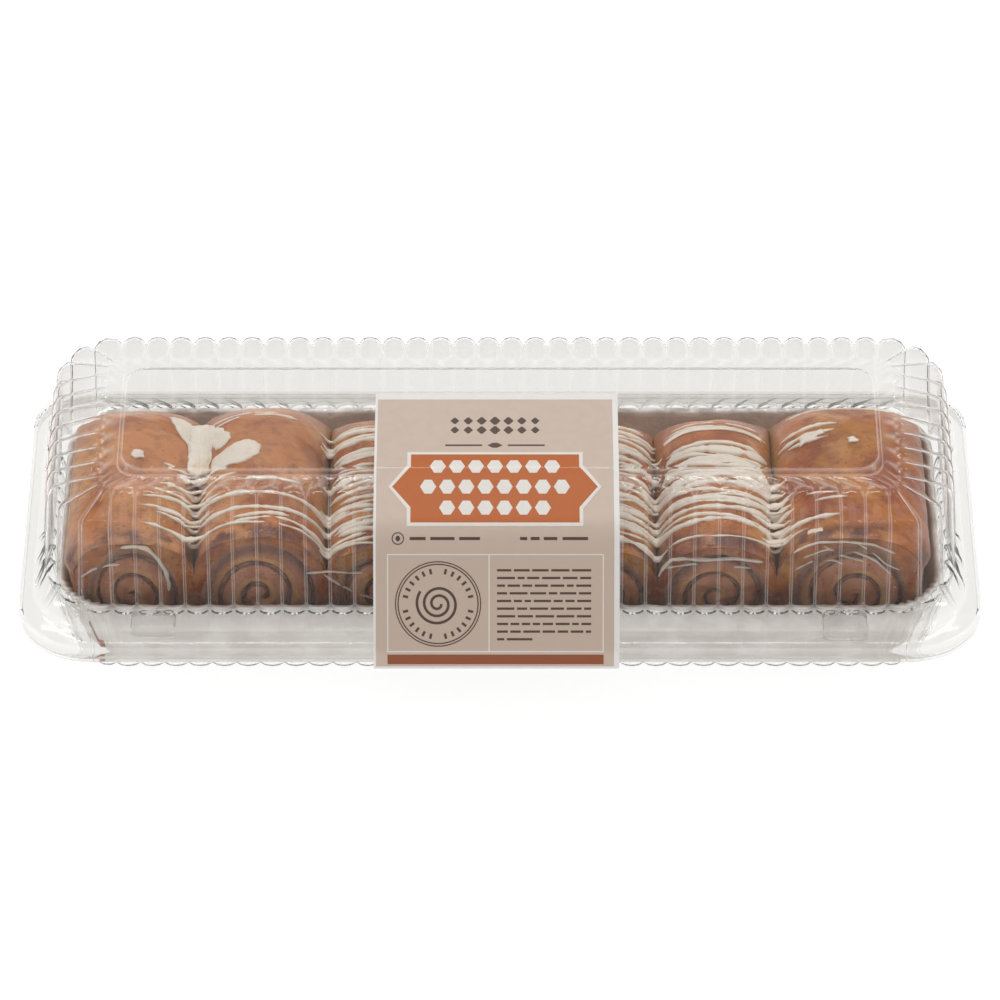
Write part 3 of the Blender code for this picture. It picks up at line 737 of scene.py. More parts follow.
def spiralAt(index, x, z):                   # how far round and out a point is on a roll's cut face
    middle = (rollEdges[index] + rollEdges[index + 1]) / 2
    reachX = rollWidths[index] / 2 - rolls["spiralMargin"][0]
    reachX = reachX - np.where((index == 0) | (index == len(rollWidths) - 1), rolls["endTuck"], 0)
    reachZ = rollCrests[index] - rolls["spiralCentre"] - rolls["spiralMargin"][1]
    across = (x - middle) / reachX
    upward = (z - rolls["spiralCentre"]) / reachZ
    radius = np.hypot(across, upward)
    turn = np.where(index % 2 == 1, 1, -1)
    starts = np.array([spiralStart(roll) for roll in range(len(rollWidths))])
    angle = np.arctan2(upward, across) - starts[index]
    out = (radius - rolls["spiralStart"]) / (1 - rolls["spiralStart"])
    return rolls["spiralTurns"] * out - turn * angle / (2 * math.pi), radius


def endPull(station):
    share = rolls["cornerShare"]
    front = np.clip(1 - station / share, 0, 1)
    back = np.clip((station - 1 + share) / share, 0, 1)
    return rolls["cornerPull"] * (front ** 2 + back ** 2)


dough = {
    "golden": rgb(178, 98, 14), "amber": rgb(148, 68, 6), "pale": rgb(198, 140, 84),
    "baked": rgb(122, 54, 18), "straw": rgb(196, 134, 48), "bloom": rgb(208, 150, 106),
    "deep": rgb(88, 38, 18), "soaked": rgb(198, 138, 106), "inner": rgb(224, 170, 110),
    "stained": rgb(104, 72, 62), "creaseCream": rgb(172, 128, 78),
    "rollBloom": (0.58, 0.54, 0.4, 0.4, 0.4, 0.2, 0.0),
    "waveReach": 0.9, "roughness": 0.3, "roughSpread": 0.2, "coat": 0.3, "coatRoughness": 0.16,
    "shine": 0.3,
}


def doughFinish():
    made, tree, shader = newMaterial("BakedDough")

    def layer(under, colour, mask, share=1.0):   # lays a colour over what is under it
        if share != 1.0:
            mask = mathNode(tree, "MULTIPLY", mask, share)
        return mixColours(tree, mask, under, dough[colour])

    def patchy(scale, detail, low, high, stretch=None):
        return stepUp(tree, objectNoise(tree, scale, detail, stretch), low, high)

    crust = useGroup(tree, blotches, Colour_A=dough["golden"], Colour_B=dough["amber"], Scale=62.0,
                     Edge_Low=0.40, Edge_High=0.60)
    top = layer(crust.outputs["Colour"], "straw", patchy(38.0, 5.0, 0.52, 0.62), 0.6)
    top = layer(top, "baked", patchy(29.0, 6.0, 0.45, 0.68, (1.0, 0.8, 1.0)), 0.5)
    pale = mathNode(tree, "MULTIPLY", patchy(95.0, 6.0, 0.52, 0.6), patchy(19.0, 2.0, 0.42, 0.6))
    top = layer(top, "pale", pale, 0.5)
    top = layer(top, "bloom", readMask(tree, "bloom"), patchy(48.0, 7.0, 0.3, 0.62))
    top = layer(top, "deep", patchy(230.0, 8.0, 0.44, 0.74), 0.42)
    top = layer(top, "pale", patchy(620.0, 3.0, 0.62, 0.72), 0.55)
    top = layer(top, "creaseCream", readMask(tree, "creaseMask"))
    top = layer(top, "deep", readMask(tree, "edgeBake"), patchy(130.0, 3.0, 0.35, 0.6))
    reach = dough["waveReach"]
    wave = mathNode(tree, "MULTIPLY_ADD", objectNoise(tree, 210.0, 5.0), reach, -reach / 2)
    near = mathNode(tree, "ADD", readMask(tree, "swirlNear"), wave)
    side = mathNode(tree, "ADD", readMask(tree, "swirlSide"), wave)
    cut = layer(dough["soaked"], "inner", stepUp(tree, side, 0.25, 0.95), 0.8)
    cut = layer(cut, "stained", stepUp(tree, near, 0.55, 0.98))
    cut = layer(cut, "amber", patchy(120.0, 3.0, 0.42, 0.62), 0.4)
    cut = layer(cut, "stained", readMask(tree, "outerArc"), 0.8)
    colour = mixColours(tree, readMask(tree, "cutFace"), top, cut)
    tree.links.new(colour, shader.inputs["Base Color"])
    relief = useGroup(tree, crumb, Scale=190.0, Pit_Scale=520.0, Pits=0.3)
    rough = mathNode(tree, "MULTIPLY_ADD", patchy(55.0, 3.0, 0.35, 0.7), dough["roughSpread"],
                     dough["roughness"])
    tree.links.new(rough, shader.inputs["Roughness"])
    shader.inputs["Coat Roughness"].default_value = dough["coatRoughness"]
    shader.inputs["Specular IOR Level"].default_value = dough["shine"]
    crustMask = mathNode(tree, "SUBTRACT", 1.0, readMask(tree, "cutFace"))
    coat = mathNode(tree, "MULTIPLY", crustMask, dough["coat"])
    tree.links.new(coat, shader.inputs["Coat Weight"])
    bumpTo(tree, shader, relief.outputs["Height"], 0.9, 0.0011)
    return made


def easedIn(station):                        # even at first, then slower towards the back
    turn = rolls["fallFrom"]
    left = 1 - turn
    if station < turn:
        return station
    return turn + left * math.sin((station - turn) / left * math.pi / 2)


def makeLoaf():
    r = rolls
    xs = []
    for left, right in zip(rollEdges, rollEdges[1:]):
        part = np.arange(r["acrossSteps"]) / r["acrossSteps"]
        xs += list(left + (right - left) * (0.5 - 0.5 * np.cos(math.pi * part)))
    xs = np.array(xs + [rollEdges[-1]])
    index, across = rollAt(xs)
    arch = archHeight(xs)
    bloom = np.array(dough["rollBloom"])[index]
    rows = []
    masks = {"cutFace": [], "creaseMask": [], "edgeBake": [], "swirlNear": [], "swirlSide": [],
             "outerArc": [], "bloom": []}

    def pulled(x, station, z):               # the ends are rounded in, and narrow down to the floor
        outer = ((index == 0) & (across < 0)) | ((index == len(rollWidths) - 1) & (across > 0))
        low = np.clip(1 - z / r["shelf"], 0, 1)
        pull = endPull(station) * (0.45 + 0.55 * low) + r["taper"] * low
        return np.where(outer, x - pull * across, x)

    def keep(points, **values):
        rows.append(points)
        for name, kept in masks.items():
            kept.append(values.get(name, np.zeros(len(points))))

    for row in range(r["faceRows"]):         # up the cut face
        share = row / r["faceRows"]
        z = r["floor"] + (arch - r["frontRound"] - r["floor"]) * share
        phase, radius = spiralAt(index, xs, z)
        near = np.cos(2 * math.pi * phase)
        side = np.sin(2 * math.pi * phase)
        inside = np.clip((1.04 - radius) / 0.06, 0, 1)
        relief = (r["bandBulge"] * (0.5 - 0.5 * near) - r["groove"] * np.clip(near, 0, 1) ** 6) * inside
        bump = np.array([lumpAt(a, 0.3, b) for a, b in zip(xs, z)]) * r["lumps"] * 0.6
        edge = np.clip((share - 0.93) / 0.07, 0, 1) ** 2 * r["frontRound"] * 0.6
        y = frontDepth(z) - relief + bump + edge
        rag = np.array([noise.noise(Vector((a * 150, b * 150, 4))) for a, b in zip(xs, z)]) * r["rag"]
        keep(np.column_stack((pulled(xs, 0.0, z), y, z)),
             cutFace=np.clip((1.1 + rag - radius) / 0.05, 0, 1),
             swirlNear=np.where(inside > 0, near, -1), swirlSide=np.where(inside > 0, side, -1),
             outerArc=np.exp(-((radius - 0.97) / 0.1) ** 2))
    for row in range(r["stations"] + 1):     # over the top, front to back
        station = row / r["stations"]
        start = frontDepth(arch)
        y = start + (backReach(xs) - start) * easedIn(station)
        z = loafHeight(xs, y)
        frontFall = np.exp(-((y - start) / r["roundFall"])) * r["frontRound"] * r["roundShare"]
        bump = np.array([lumpAt(a, b, 0.1) for a, b in zip(xs, y)]) * r["lumps"]
        crease = np.clip((np.abs(across) - r["creaseFrom"]) / r["creaseSoft"], 0, 1)
        inner = (index + np.sign(across) >= 0) & (index + np.sign(across) < len(rollWidths))
        bake = np.exp(-(((y - start) - r["bakeDepth"]) / r["bakeHalf"]) ** 2)
        keep(np.column_stack((pulled(xs, station, z), y, z + bump * (1 - crease) - frontFall)),
             creaseMask=crease * inner * r["creamShare"], edgeBake=bake, bloom=bloom)
    backFloor = np.full(len(xs), r["backFloor"])
    for share in r["backRows"]:              # down the back
        z = r["shelf"] + (r["floor"] - r["shelf"]) * share
        y = backReach(xs) + (backFloor - backReach(xs)) * share
        keep(np.column_stack((pulled(xs, 1.0, z), y, np.full(len(xs), z))))
    rows = np.array(rows)
    rows[:, :, 1] += domeMiddle
    count, columns, _ = rows.shape
    faces = []
    for a in range(count):
        near = a * columns
        far = (a + 1) % count * columns
        for c in range(columns - 1):
            faces.append((near + c, near + c + 1, far + c + 1, far + c))
    faces.append(tuple(a * columns for a in range(count)))
    faces.append(tuple(a * columns + columns - 1 for a in range(count - 1, -1, -1)))
    mesh = meshFrom("babkaRolls", rows.reshape(-1, 3), faces, 60)
    for name, kept in masks.items():
        addMask(mesh, name, kept)
    addPiece("babkaRolls", mesh, doughFinish(), ("babka",))


# The cinnamon filling, one rolled strip in each roll.

filling = {"thickness": 1.4 * mm, "steps": 150, "back": 12.0 * mm, "proud": 0.35 * mm,
           "wobble": 0.45, "sunk": 0.55, "rough": 0.3 * mm,
           "dark": rgb(94, 64, 53), "wet": rgb(150, 102, 78)}


def fillingFinish():
    made, tree, shader = newMaterial("CinnamonPaste", Roughness=0.4)
    mixed = useGroup(tree, blotches, Colour_A=filling["dark"], Colour_B=filling["wet"], Scale=210.0)
    tree.links.new(mixed.outputs["Colour"], shader.inputs["Base Color"])
    relief = useGroup(tree, crumb, Scale=900.0, Pit_Scale=700.0, Pits=0.6)
    bumpTo(tree, shader, relief.outputs["Height"], 0.7, 0.0005)
    return made


def makeFillings():
    paste = fillingFinish()
    f = filling
    for index in range(len(rollWidths)):
        middle = (rollEdges[index] + rollEdges[index + 1]) / 2
        ends = index in (0, len(rollWidths) - 1)
        reachX = rollWidths[index] / 2 - rolls["spiralMargin"][0] - (rolls["endTuck"] if ends else 0)
        reachZ = rollCrests[index] - rolls["spiralCentre"] - rolls["spiralMargin"][1]
        turn = 1 if index % 2 else -1
        start = spiralStart(index)
        share = np.linspace(0, 1, f["steps"])
        angle = start + turn * 2 * math.pi * rolls["spiralTurns"] * share
        radius = rolls["spiralStart"] + (1 - rolls["spiralStart"]) * share
        wobble = np.array([noise.noise(Vector((s * 14, index * 3.1, 0))) for s in share])
        half = f["thickness"] / 2 * (1 + f["wobble"] * wobble) * np.clip(12 * (1 - share), 0.25, 1)
        rings = []
        for side, depth in ((-1, "back"), (-1, "front"), (-0.5, "lip"), (0.5, "lip"),
                            (1, "front"), (1, "back")):
            x = middle + (reachX * radius + side * half) * np.cos(angle)
            z = rolls["spiralCentre"] + (reachZ * radius + side * half) * np.sin(angle)
            front = frontDepth(z) + rolls["groove"] * f["sunk"]
            rough = np.array([noise.noise(Vector((s * 60, side, index))) for s in share])
            y = {"back": np.full(len(x), f["back"]), "front": front,
                 "lip": front - f["proud"] + rough * f["rough"]}[depth]
            rings.append(np.column_stack((x, y + domeMiddle, z)))
        strip = np.array(rings).transpose(1, 0, 2)
        mesh = closedRings("cinnamonSwirl_%d" % (index + 1), strip, 50)
        addPiece("cinnamonSwirl_%d" % (index + 1), mesh, paste, ("filling_%d" % (index + 1),))


# The sugar icing: threads drawn from side to side, larger smears, and runs on the cut faces.

icing = {
    "white": rgb(229, 220, 208), "thin": rgb(214, 186, 156), "thick": 0.55 * mm,
    "sink": 0.45 * mm, "step": 0.9 * mm, "seed": 4,
    "bridge": 2.2 * mm, "drift": 2.2 * mm, "jitter": 0.35 * mm, "lean": 0.06,
    "ragged": 1.9 * mm, "rough": 0.25 * mm,
    # depth, first and last place along the loaf in rolls, half width
    "threads": (
        (-44.6, 1.95, 2.75, 0.6), (-41.0, 1.12, 2.1, 0.55), (-38.8, 0.62, 2.35, 0.75),
        (-36.9, 1.30, 1.72, 1.0), (-31.6, 0.80, 2.3, 0.9), (-28.6, 0.58, 1.15, 0.6),
        (-25.0, 0.95, 2.2, 1.0), (-22.0, 0.60, 1.2, 0.8), (-17.6, 1.35, 1.8, 0.8),
        (-18.6, 0.66, 1.15, 0.7), (-14.2, 0.9, 1.3, 0.9), (19.0, 1.0, 1.75, 0.8),
        (22.5, 0.85, 1.6, 0.7),
        (-40.6, 5.1, 6.2, 0.5), (-33.6, 4.9, 6.4, 1.2), (-30.6, 5.0, 6.05, 0.8),
        (-26.4, 4.9, 6.12, 1.2), (-23.0, 5.0, 6.1, 1.6), (-20.4, 5.2, 6.0, 0.7),
        (-13.6, 4.9, 6.04, 1.5), (-10.2, 5.0, 6.0, 1.9), (-6.4, 5.05, 5.98, 1.9),
        (-2.6, 5.08, 5.85, 1.3), (0.6, 5.05, 5.95, 0.9), (4.0, 5.1, 5.95, 1.9),
        (7.4, 5.1, 5.88, 1.1), (19.2, 5.1, 5.95, 1.0), (22.6, 5.15, 5.9, 0.6),
        (-17.2, 5.0, 6.12, 1.1),
        (14.3, 6.05, 6.42, 1.0), (9.8, 6.04, 6.40, 1.1), (6.3, 6.1, 6.36, 0.7),
        (-26.6, 6.25, 6.46, 0.8), (-22.6, 6.2, 6.4, 0.5),
        (29.5, 6.1, 6.8, 0.8),
    ),
    "closeRolls": (2, 3, 4), "closeStep": 3.1, "closeDepths": (-42.0, 24.0),
    # a ridge's section as how far across and up, and a patch's as how far out and up
    "ridge": ((-1.0, -0.6), (-0.86, 0.35), (-0.5, 0.82), (0.0, 1.0), (0.5, 0.82), (0.86, 0.35),
              (1.0, -0.6)),
    "patch": ((0.1, -0.55), (0.5, -0.55), (0.9, -0.5), (1.0, -0.12), (0.985, 0.45), (0.93, 0.8),
              (0.8, 0.95), (0.6, 1.0), (0.35, 0.95), (0.1, 0.95)),
    # crease, first and last depth, longest reach to the left and right
    "creases": ((1, -40.0, -4.0, 0.34, 0.3), (6, -41.0, -6.0, 0.2, 0.07)), "creaseStep": 4.2,
    # outlines seen from above, thickness, how far they bridge a crease
    "patches": (
        (((-116, 27), (-111, 29), (-106, 26), (-103.5, 14), (-104.5, 4), (-108, 2), (-108.5, 10),
          (-113, 17)), 0.8, 4.5),
        (((-108, 26), (-102, 27), (-99.5, 20), (-99, 8), (-101, -4), (-105, -7), (-108.5, -2),
          (-108, 12)), 1.0, 6.0),
        (((-103, 20), (-98, 17), (-93.5, 8), (-94, 4), (-98.5, 3), (-100.5, 10)), 0.9, 2.0),
        (((-100, -1), (-88, 4), (-82.5, 1), (-83.5, -5), (-88, -9), (-93, -8), (-100, -9)), 0.9, 2.0),
        (((-127, 1.5), (-124, 1), (-123.5, -2.5), (-126.4, -3.6), (-128, -1)), 0.6, 1.0),
        (((103.5, 9), (112, 11.5), (113, 8.5), (104, 4.5)), 0.6, 1.5),
        (((120.5, 5), (123.2, 4.6), (123.4, 2.6), (120.8, 2.4)), 0.5, 1.0),
        (((104.5, -41), (110.5, -41.6), (110.0, -43.6), (104.8, -43.4)), 0.6, 1.0),
        (((-62, -40.5), (-57, -41.2), (-58, -43.4), (-61, -43.2)), 0.6, 1.5),
        (((57, 17.5), (66, 19.4), (78, 19.6), (91, 18), (91, 15.6), (79, 16.4), (67, 16.2),
          (57.5, 15.2)), 0.5, 1.5),
        (((57, -1.5), (66, 0.6), (80, 1.0), (91, -0.8), (91.5, -4.2), (81, -3.4), (68, -3.2),
          (57, -4.6)), 0.5, 1.5),
        (((59, -9), (68, -7.2), (82, -7.4), (90, -9.2), (89, -12), (78, -10.8), (67, -10.6),
          (58.5, -11.8)), 0.5, 1.5),
        (((60, -21.5), (70, -20.4), (84, -21), (88, -23), (83, -24.6), (70, -23.6), (61, -24)),
         0.45, 1.5),
        (((-58, 2), (-50, 4.2), (-40, 4.6), (-30, 3.5), (-24, 1.8), (-30, 0.2), (-42, 0.8),
          (-52, 0.2)), 0.5, 1.5),
        (((22, 8), (32, 10), (44, 10.2), (51, 8.4), (50, 5.8), (42, 6.8), (30, 6.6), (23, 5.6)),
         0.5, 1.5),
    ),
    # paths over the cut faces, across and up, with a half width
    "faceRuns": (
        (((-129.5, 51.0), (-124.5, 51.6), (-120.5, 50.8), (-117.0, 46.0), (-114.2, 39.5),
          (-113.4, 33.0), (-113.9, 28.6)), 0.75),
        (((-143.5, 36.5), (-139.0, 40.6), (-133.5, 42.6), (-129.0, 43.0)), 0.42),
        (((-100.2, 27.5), (-99.4, 31.0), (-97.6, 34.2)), 0.5),
        (((-66.5, 38.5), (-58.0, 39.4), (-50.0, 38.6), (-44.0, 39.2)), 0.4),
        (((-60.5, 38.0), (-55.0, 33.0), (-49.0, 28.5), (-43.0, 26.0)), 0.42),
        (((54.0, 44.2), (62.0, 45.6), (71.0, 45.0), (80.0, 45.8), (90.0, 44.0)), 0.6),
        (((56.0, 41.0), (66.0, 43.2), (76.0, 42.4), (86.0, 41.0)), 0.35),
        (((100.0, 50.0), (108.0, 53.6), (118.0, 53.9), (127.0, 52.6), (135.0, 48.0)), 0.42),
        (((103.0, 46.0), (111.0, 50.2), (120.0, 49.6), (128.0, 45.0), (133.5, 38.0)), 0.4),
        (((110.0, 52.0), (117.0, 47.0), (124.0, 44.5), (131.0, 37.0), (136.0, 31.0)), 0.36),
        (((100.5, 40.0), (106.5, 44.6), (114.0, 45.0), (121.0, 40.6)), 0.34),
        (((121.0, 53.5), (127.0, 49.0), (131.5, 43.0), (137.0, 40.0)), 0.3),
    ),
}


def icingFinish():
    made, tree, shader = newMaterial("SugarIcing", Roughness=0.46)
    mixed = useGroup(tree, blotches, Colour_A=icing["white"], Colour_B=icing["thin"], Scale=120.0,
                     Edge_Low=0.55, Edge_High=0.78)
    edge = mathNode(tree, "SUBTRACT", 1.0, readMask(tree, "body"))
    colour = mixColours(tree, mathNode(tree, "MULTIPLY", edge, 0.7), mixed.outputs["Colour"],
                        icing["thin"])
    tree.links.new(colour, shader.inputs["Base Color"])
    relief = useGroup(tree, crumb, Scale=650.0, Pit_Scale=480.0, Pits=0.4)
    bumpTo(tree, shader, relief.outputs["Height"], 0.5, 0.0003)
    return made


class Strands:                               # gathers many ridges of icing into one mesh
    def __init__(self):
        self.verts = []
        self.faces = []
        self.body = []

    def ridge(self, centres, normals, sides, widths, heights):
        start = len(self.verts)
        count = len(icing["ridge"])
        for centre, normal, side, width, height in zip(centres, normals, sides, widths, heights):
            for across, up in icing["ridge"]:
                rise = height * up if up > 0 else icing["sink"] * up
                self.verts.append(centre + side * width * across + normal * rise)
                self.body.append(max(0.0, up))
        for a in range(len(centres) - 1):
            for c in range(count):
                d = (c + 1) % count
                self.faces.append((start + a * count + c, start + a * count + d,
                                   start + (a + 1) * count + d, start + (a + 1) * count + c))
        last = start + (len(centres) - 1) * count
        self.faces.append(tuple(start + c for c in range(count)))
        self.faces.append(tuple(last + c for c in range(count - 1, -1, -1)))

    def lathe(self, rings, body):            # nested outlines, from the hidden side to the top
        start = len(self.verts)
        rows, columns, _ = rings.shape
        self.verts += [tuple(v) for v in rings.reshape(-1, 3)]
        self.body += [b for b in body for _ in range(columns)]
        self.faces += gridFaces(rows, columns, start)
        self.faces.append(tuple(range(start, start + columns)))
        last = start + (rows - 1) * columns
        self.faces.append(tuple(range(last, last + columns)))

    def finish(self, name, finish, replaced):
        mesh = meshFrom(name, self.verts, self.faces, 70)
        addMask(mesh, "body", self.body)
        addPiece(name, mesh, finish, replaced)


def runLengths(points):                      # how far along a line each of its points is
    return np.concatenate(([0], np.cumsum(np.linalg.norm(np.diff(points, axis=0), axis=1))))


def along(points):                           # unit directions along a line of points
    steps = np.gradient(points, axis=0)
    return steps / np.linalg.norm(steps, axis=1)[:, None]


def topNormals(xs, ys):
    d = 0.4 * mm
    slopeX = (softHeight(xs + d, ys) - softHeight(xs - d, ys)) / (2 * d)
    slopeY = (softHeight(xs, ys + d) - softHeight(xs, ys - d)) / (2 * d)
    normals = np.column_stack((-slopeX, -slopeY, np.ones(len(xs))))
    return normals / np.linalg.norm(normals, axis=1)[:, None]


def placeInRolls(value):                     # 2.5 is the middle of the third roll
    index = int(min(value, len(rollWidths) - 1))
    return rollEdges[index] + (value - index) * rollWidths[index]


def topThread(strands, depth, first, last, halfWidth, maker, reach=icing["bridge"]):
    x0, x1 = placeInRolls(first), placeInRolls(last)
    count = max(6, int(abs(x1 - x0) / icing["step"]))
    xs = np.linspace(x0, x1, count)
    phase = maker.uniform(0, 50)
    lean = maker.uniform(-icing["lean"], icing["lean"]) * (xs - (x0 + x1) / 2)
    drift = np.array([noise.noise(Vector((x * 46, phase, depth))) for x in xs]) * icing["drift"]
    fine = np.array([noise.noise(Vector((x * 160, phase, 3))) for x in xs]) * icing["jitter"]
    ys = depth + drift + lean + fine
    zs = softHeight(xs, ys, reach)
    _, across = rollAt(xs)
    uneven = np.array([1 + 0.75 * noise.noise(Vector((x * 210, phase, 7)))
                       + 0.5 * noise.noise(Vector((x * 620, phase, 9))) for x in xs])
    uneven = np.clip(uneven, 0.3, 1.9)
    ends = np.clip(np.minimum(np.arange(count), np.arange(count)[::-1]) / 2.5, 0.25, 1)
    widths = halfWidth * uneven * ends * (0.9 + 0.25 * np.abs(across))
    heights = icing["thick"] * np.clip(widths / (1.1 * mm), 0.45, 1.15)
    points = np.column_stack((xs, ys + domeMiddle, zs + 0.1 * mm))
    normals = topNormals(xs, ys)
    sides = np.cross(along(points), normals)
    strands.ridge(points, normals, sides, widths, heights)


def icingThreads(strands, maker):
    for depth, first, last, width in icing["threads"]:
        topThread(strands, depth * mm, first, last, width * mm, maker)
    for roll in icing["closeRolls"]:
        depth = icing["closeDepths"][0] + maker.uniform(0, 1.5)
        while depth < icing["closeDepths"][1]:
            first = roll + maker.uniform(-0.08, 0.12)
            last = roll + 1 + maker.uniform(-0.12, 0.08)
            topThread(strands, depth * mm, first, last, maker.uniform(0.6, 1.5) * mm, maker)
            depth += icing["closeStep"] * maker.uniform(0.75, 1.35)
    for crease, first, last, left, right in icing["creases"]:
        depth = first + maker.uniform(0, 1.5)
        while depth < last:
            topThread(strands, depth * mm, crease - maker.uniform(0.12, left),
                      crease + maker.uniform(0.1, right), maker.uniform(0.45, 1.45) * mm, maker,
                      maker.uniform(3.4, 6.4) * mm)
            depth += icing["creaseStep"] * maker.uniform(0.7, 1.9)


def faceRuns(strands):
    for path, half in icing["faceRuns"]:
        nodes = np.array(path) * mm
        steps = runLengths(nodes)
        marks = np.linspace(0, steps[-1], max(8, int(steps[-1] / (0.8 * mm))))
        xs = smoothAlong(np.interp(marks, steps, nodes[:, 0]))
        zs = smoothAlong(np.interp(marks, steps, nodes[:, 1]))
        wob = np.array([noise.noise(Vector((m * 300, half * 9, xs[0] * 90))) for m in marks])
        ends = np.clip(np.minimum(np.arange(len(marks)), np.arange(len(marks))[::-1]) / 2.0, 0.3, 1)
        widths = half * mm * (1 + 0.5 * wob) * ends
        ys = frontDepth(zs) - 0.25 * mm
        zs = np.minimum(zs, archHeight(xs) - 0.6 * mm)
        points = np.column_stack((xs, ys + domeMiddle, zs))
        normals = np.tile((0.0, -1.0, 0.08), (len(marks), 1))
        sides = np.cross(along(points), normals)
        strands.ridge(points, normals, sides, widths, np.maximum(widths * 0.8, 0.35 * mm))


def smoothAlong(values):
    padded = np.concatenate((values[:1], values[:1], values, values[-1:], values[-1:]))
    return np.convolve(padded, (0.1, 0.2, 0.4, 0.2, 0.1), mode="valid")


def makePatch(strands, outline, thick, reach, maker):
    corners = np.array(outline) * mm
    ring = np.vstack((corners, corners[:1]))
    steps = runLengths(ring)
    count = max(36, int(steps[-1] / (0.7 * mm)))
    marks = np.linspace(0, steps[-1], count, endpoint=False)
    edge = np.column_stack((np.interp(marks, steps, ring[:, 0]), np.interp(marks, steps, ring[:, 1])))
    centre = edge.mean(axis=0)
    seed = maker.uniform(0, 90)
    ragged = np.array([noise.noise(Vector((*(p * 420), seed))) * 0.6
                       + noise.noise(Vector((*(p * 1100), seed))) * 0.4 for p in edge])
    away = edge - centre
    away /= np.linalg.norm(away, axis=1)[:, None]
    edge = edge + away * (ragged * icing["ragged"])[:, None]
    rings = []
    body = []
    for share, lift in icing["patch"]:
        flat = centre + (edge - centre) * share
        height = softHeight(flat[:, 0], flat[:, 1], reach * mm)
        rough = np.array([noise.noise(Vector((*(p * 330), seed + 7))) for p in flat])
        up = thick * mm * lift + (rough * icing["rough"] if lift > 0 else 0)
        rings.append(np.column_stack((flat[:, 0], flat[:, 1] + domeMiddle, height + up)))
        body.append(max(0.0, lift))
    strands.lathe(np.array(rings), body)


def makeIcing():
    maker = random.Random(icing["seed"])
    finish = icingFinish()
    strands = Strands()
    icingThreads(strands, maker)
    faceRuns(strands)
    strands.finish("icingThreads", finish, ("babka",))
    patches = Strands()
    for outline, thick, reach in icing["patches"]:
        makePatch(patches, outline, thick, reach, maker)
    patches.finish("icingPatches", finish, ("babka",))


# The paper band with its print. The print is fields of colour and plain shapes.

band = {
    "centre": -1.2 * mm, "width": 83.5 * mm, "thickness": 0.3 * mm,
    "route": ((12.1, 69.8), (-27.9, 69.8), (-52.7, 64.0), (-75.6, 29.1), (-75.8, 21.1)),
    "bends": (3.0, 5.0, 2.0), "bendSteps": 9, "step": 1.2 * mm,
    "printLift": 0.05 * mm,
    "paper": rgb(238, 235, 231), "tan": rgb(208, 188, 172), "orange": rgb(190, 96, 18),
    # russet: the stripe's own ink, made darker as painted shade since the stripe faces down
    "brown": rgb(84, 64, 54), "cream": rgb(234, 228, 220), "shadedRusset": rgb(144, 66, 8),
    # painted shade: the darker tan that the field drifts to down the front
    "paintedShadeTan": rgb(203, 182, 165),
    "inkSink": 0.08 * mm, "wear": 0.975,
}


def bandPath():
    corners = [Vector((y + domeMiddle / mm, z)) * mm for y, z in band["route"]]
    points = [corners[0]]
    for before, here, after, bend in zip(corners, corners[1:], corners[2:], band["bends"]):
        into = (here - before).normalized()
        away = (after - here).normalized()
        start = here - into * bend * mm
        end = here + away * bend * mm
        for k in np.linspace(0, 1, band["bendSteps"]):
            points.append(start * (1 - k) ** 2 + here * 2 * k * (1 - k) + end * k ** 2)
    points.append(corners[-1])
    dense = []
    for a, b in zip(points, points[1:]):
        steps = max(1, int((b - a).length / band["step"]))
        dense += [a.lerp(b, k / steps) for k in range(steps)]
    dense.append(points[-1])
    route = np.array([tuple(p) for p in dense])
    return route, runLengths(route)


bandRoute, bandLengths = bandPath()
bandSlopes = along(bandRoute)


def bandPoint(x, s, lift):                   # x across the band, s along it from its rear edge
    y = np.interp(s, bandLengths, bandRoute[:, 0])
    z = np.interp(s, bandLengths, bandRoute[:, 1])
    ty = np.interp(s, bandLengths, bandSlopes[:, 0])
    tz = np.interp(s, bandLengths, bandSlopes[:, 1])
    return (x, y + tz * lift, z - ty * lift)


def printFinish(name, colour, shadeTone=None):   # the last argument is a painted shade: the darker tone that the print drifts to down the front
    made, tree, shader = newMaterial(name, Roughness=0.5)
    worn = tuple(band["wear"] * c for c in colour[:3]) + (1.0,)
    mixed = useGroup(tree, blotches, Colour_A=colour, Colour_B=worn, Scale=240.0)
    ink = mixed.outputs["Colour"]
    if shadeTone:
        place = addNode(tree, "ShaderNodeSeparateXYZ")
        tree.links.new(addNode(tree, "ShaderNodeTexCoord").outputs["Object"], place.inputs[0])
        upper = stepUp(tree, place.outputs["Z"], *bandPrint["drift"])
        ink = mixColours(tree, mathNode(tree, "SUBTRACT", 1.0, upper), ink, shadeTone)
    tree.links.new(ink, shader.inputs["Base Color"])
    shader.inputs["Coat Weight"].default_value = 0.15
    relief = useGroup(tree, ripples, Wave_Scale=150.0, Scuff_Scale=3000.0, Scuffs=0.15)
    bumpTo(tree, shader, relief.outputs["Height"], 0.25, 0.0002)
    return made


# Each print is a thin inlay: shapes drawn flat as (x, s), then cut at the bends and wrapped.

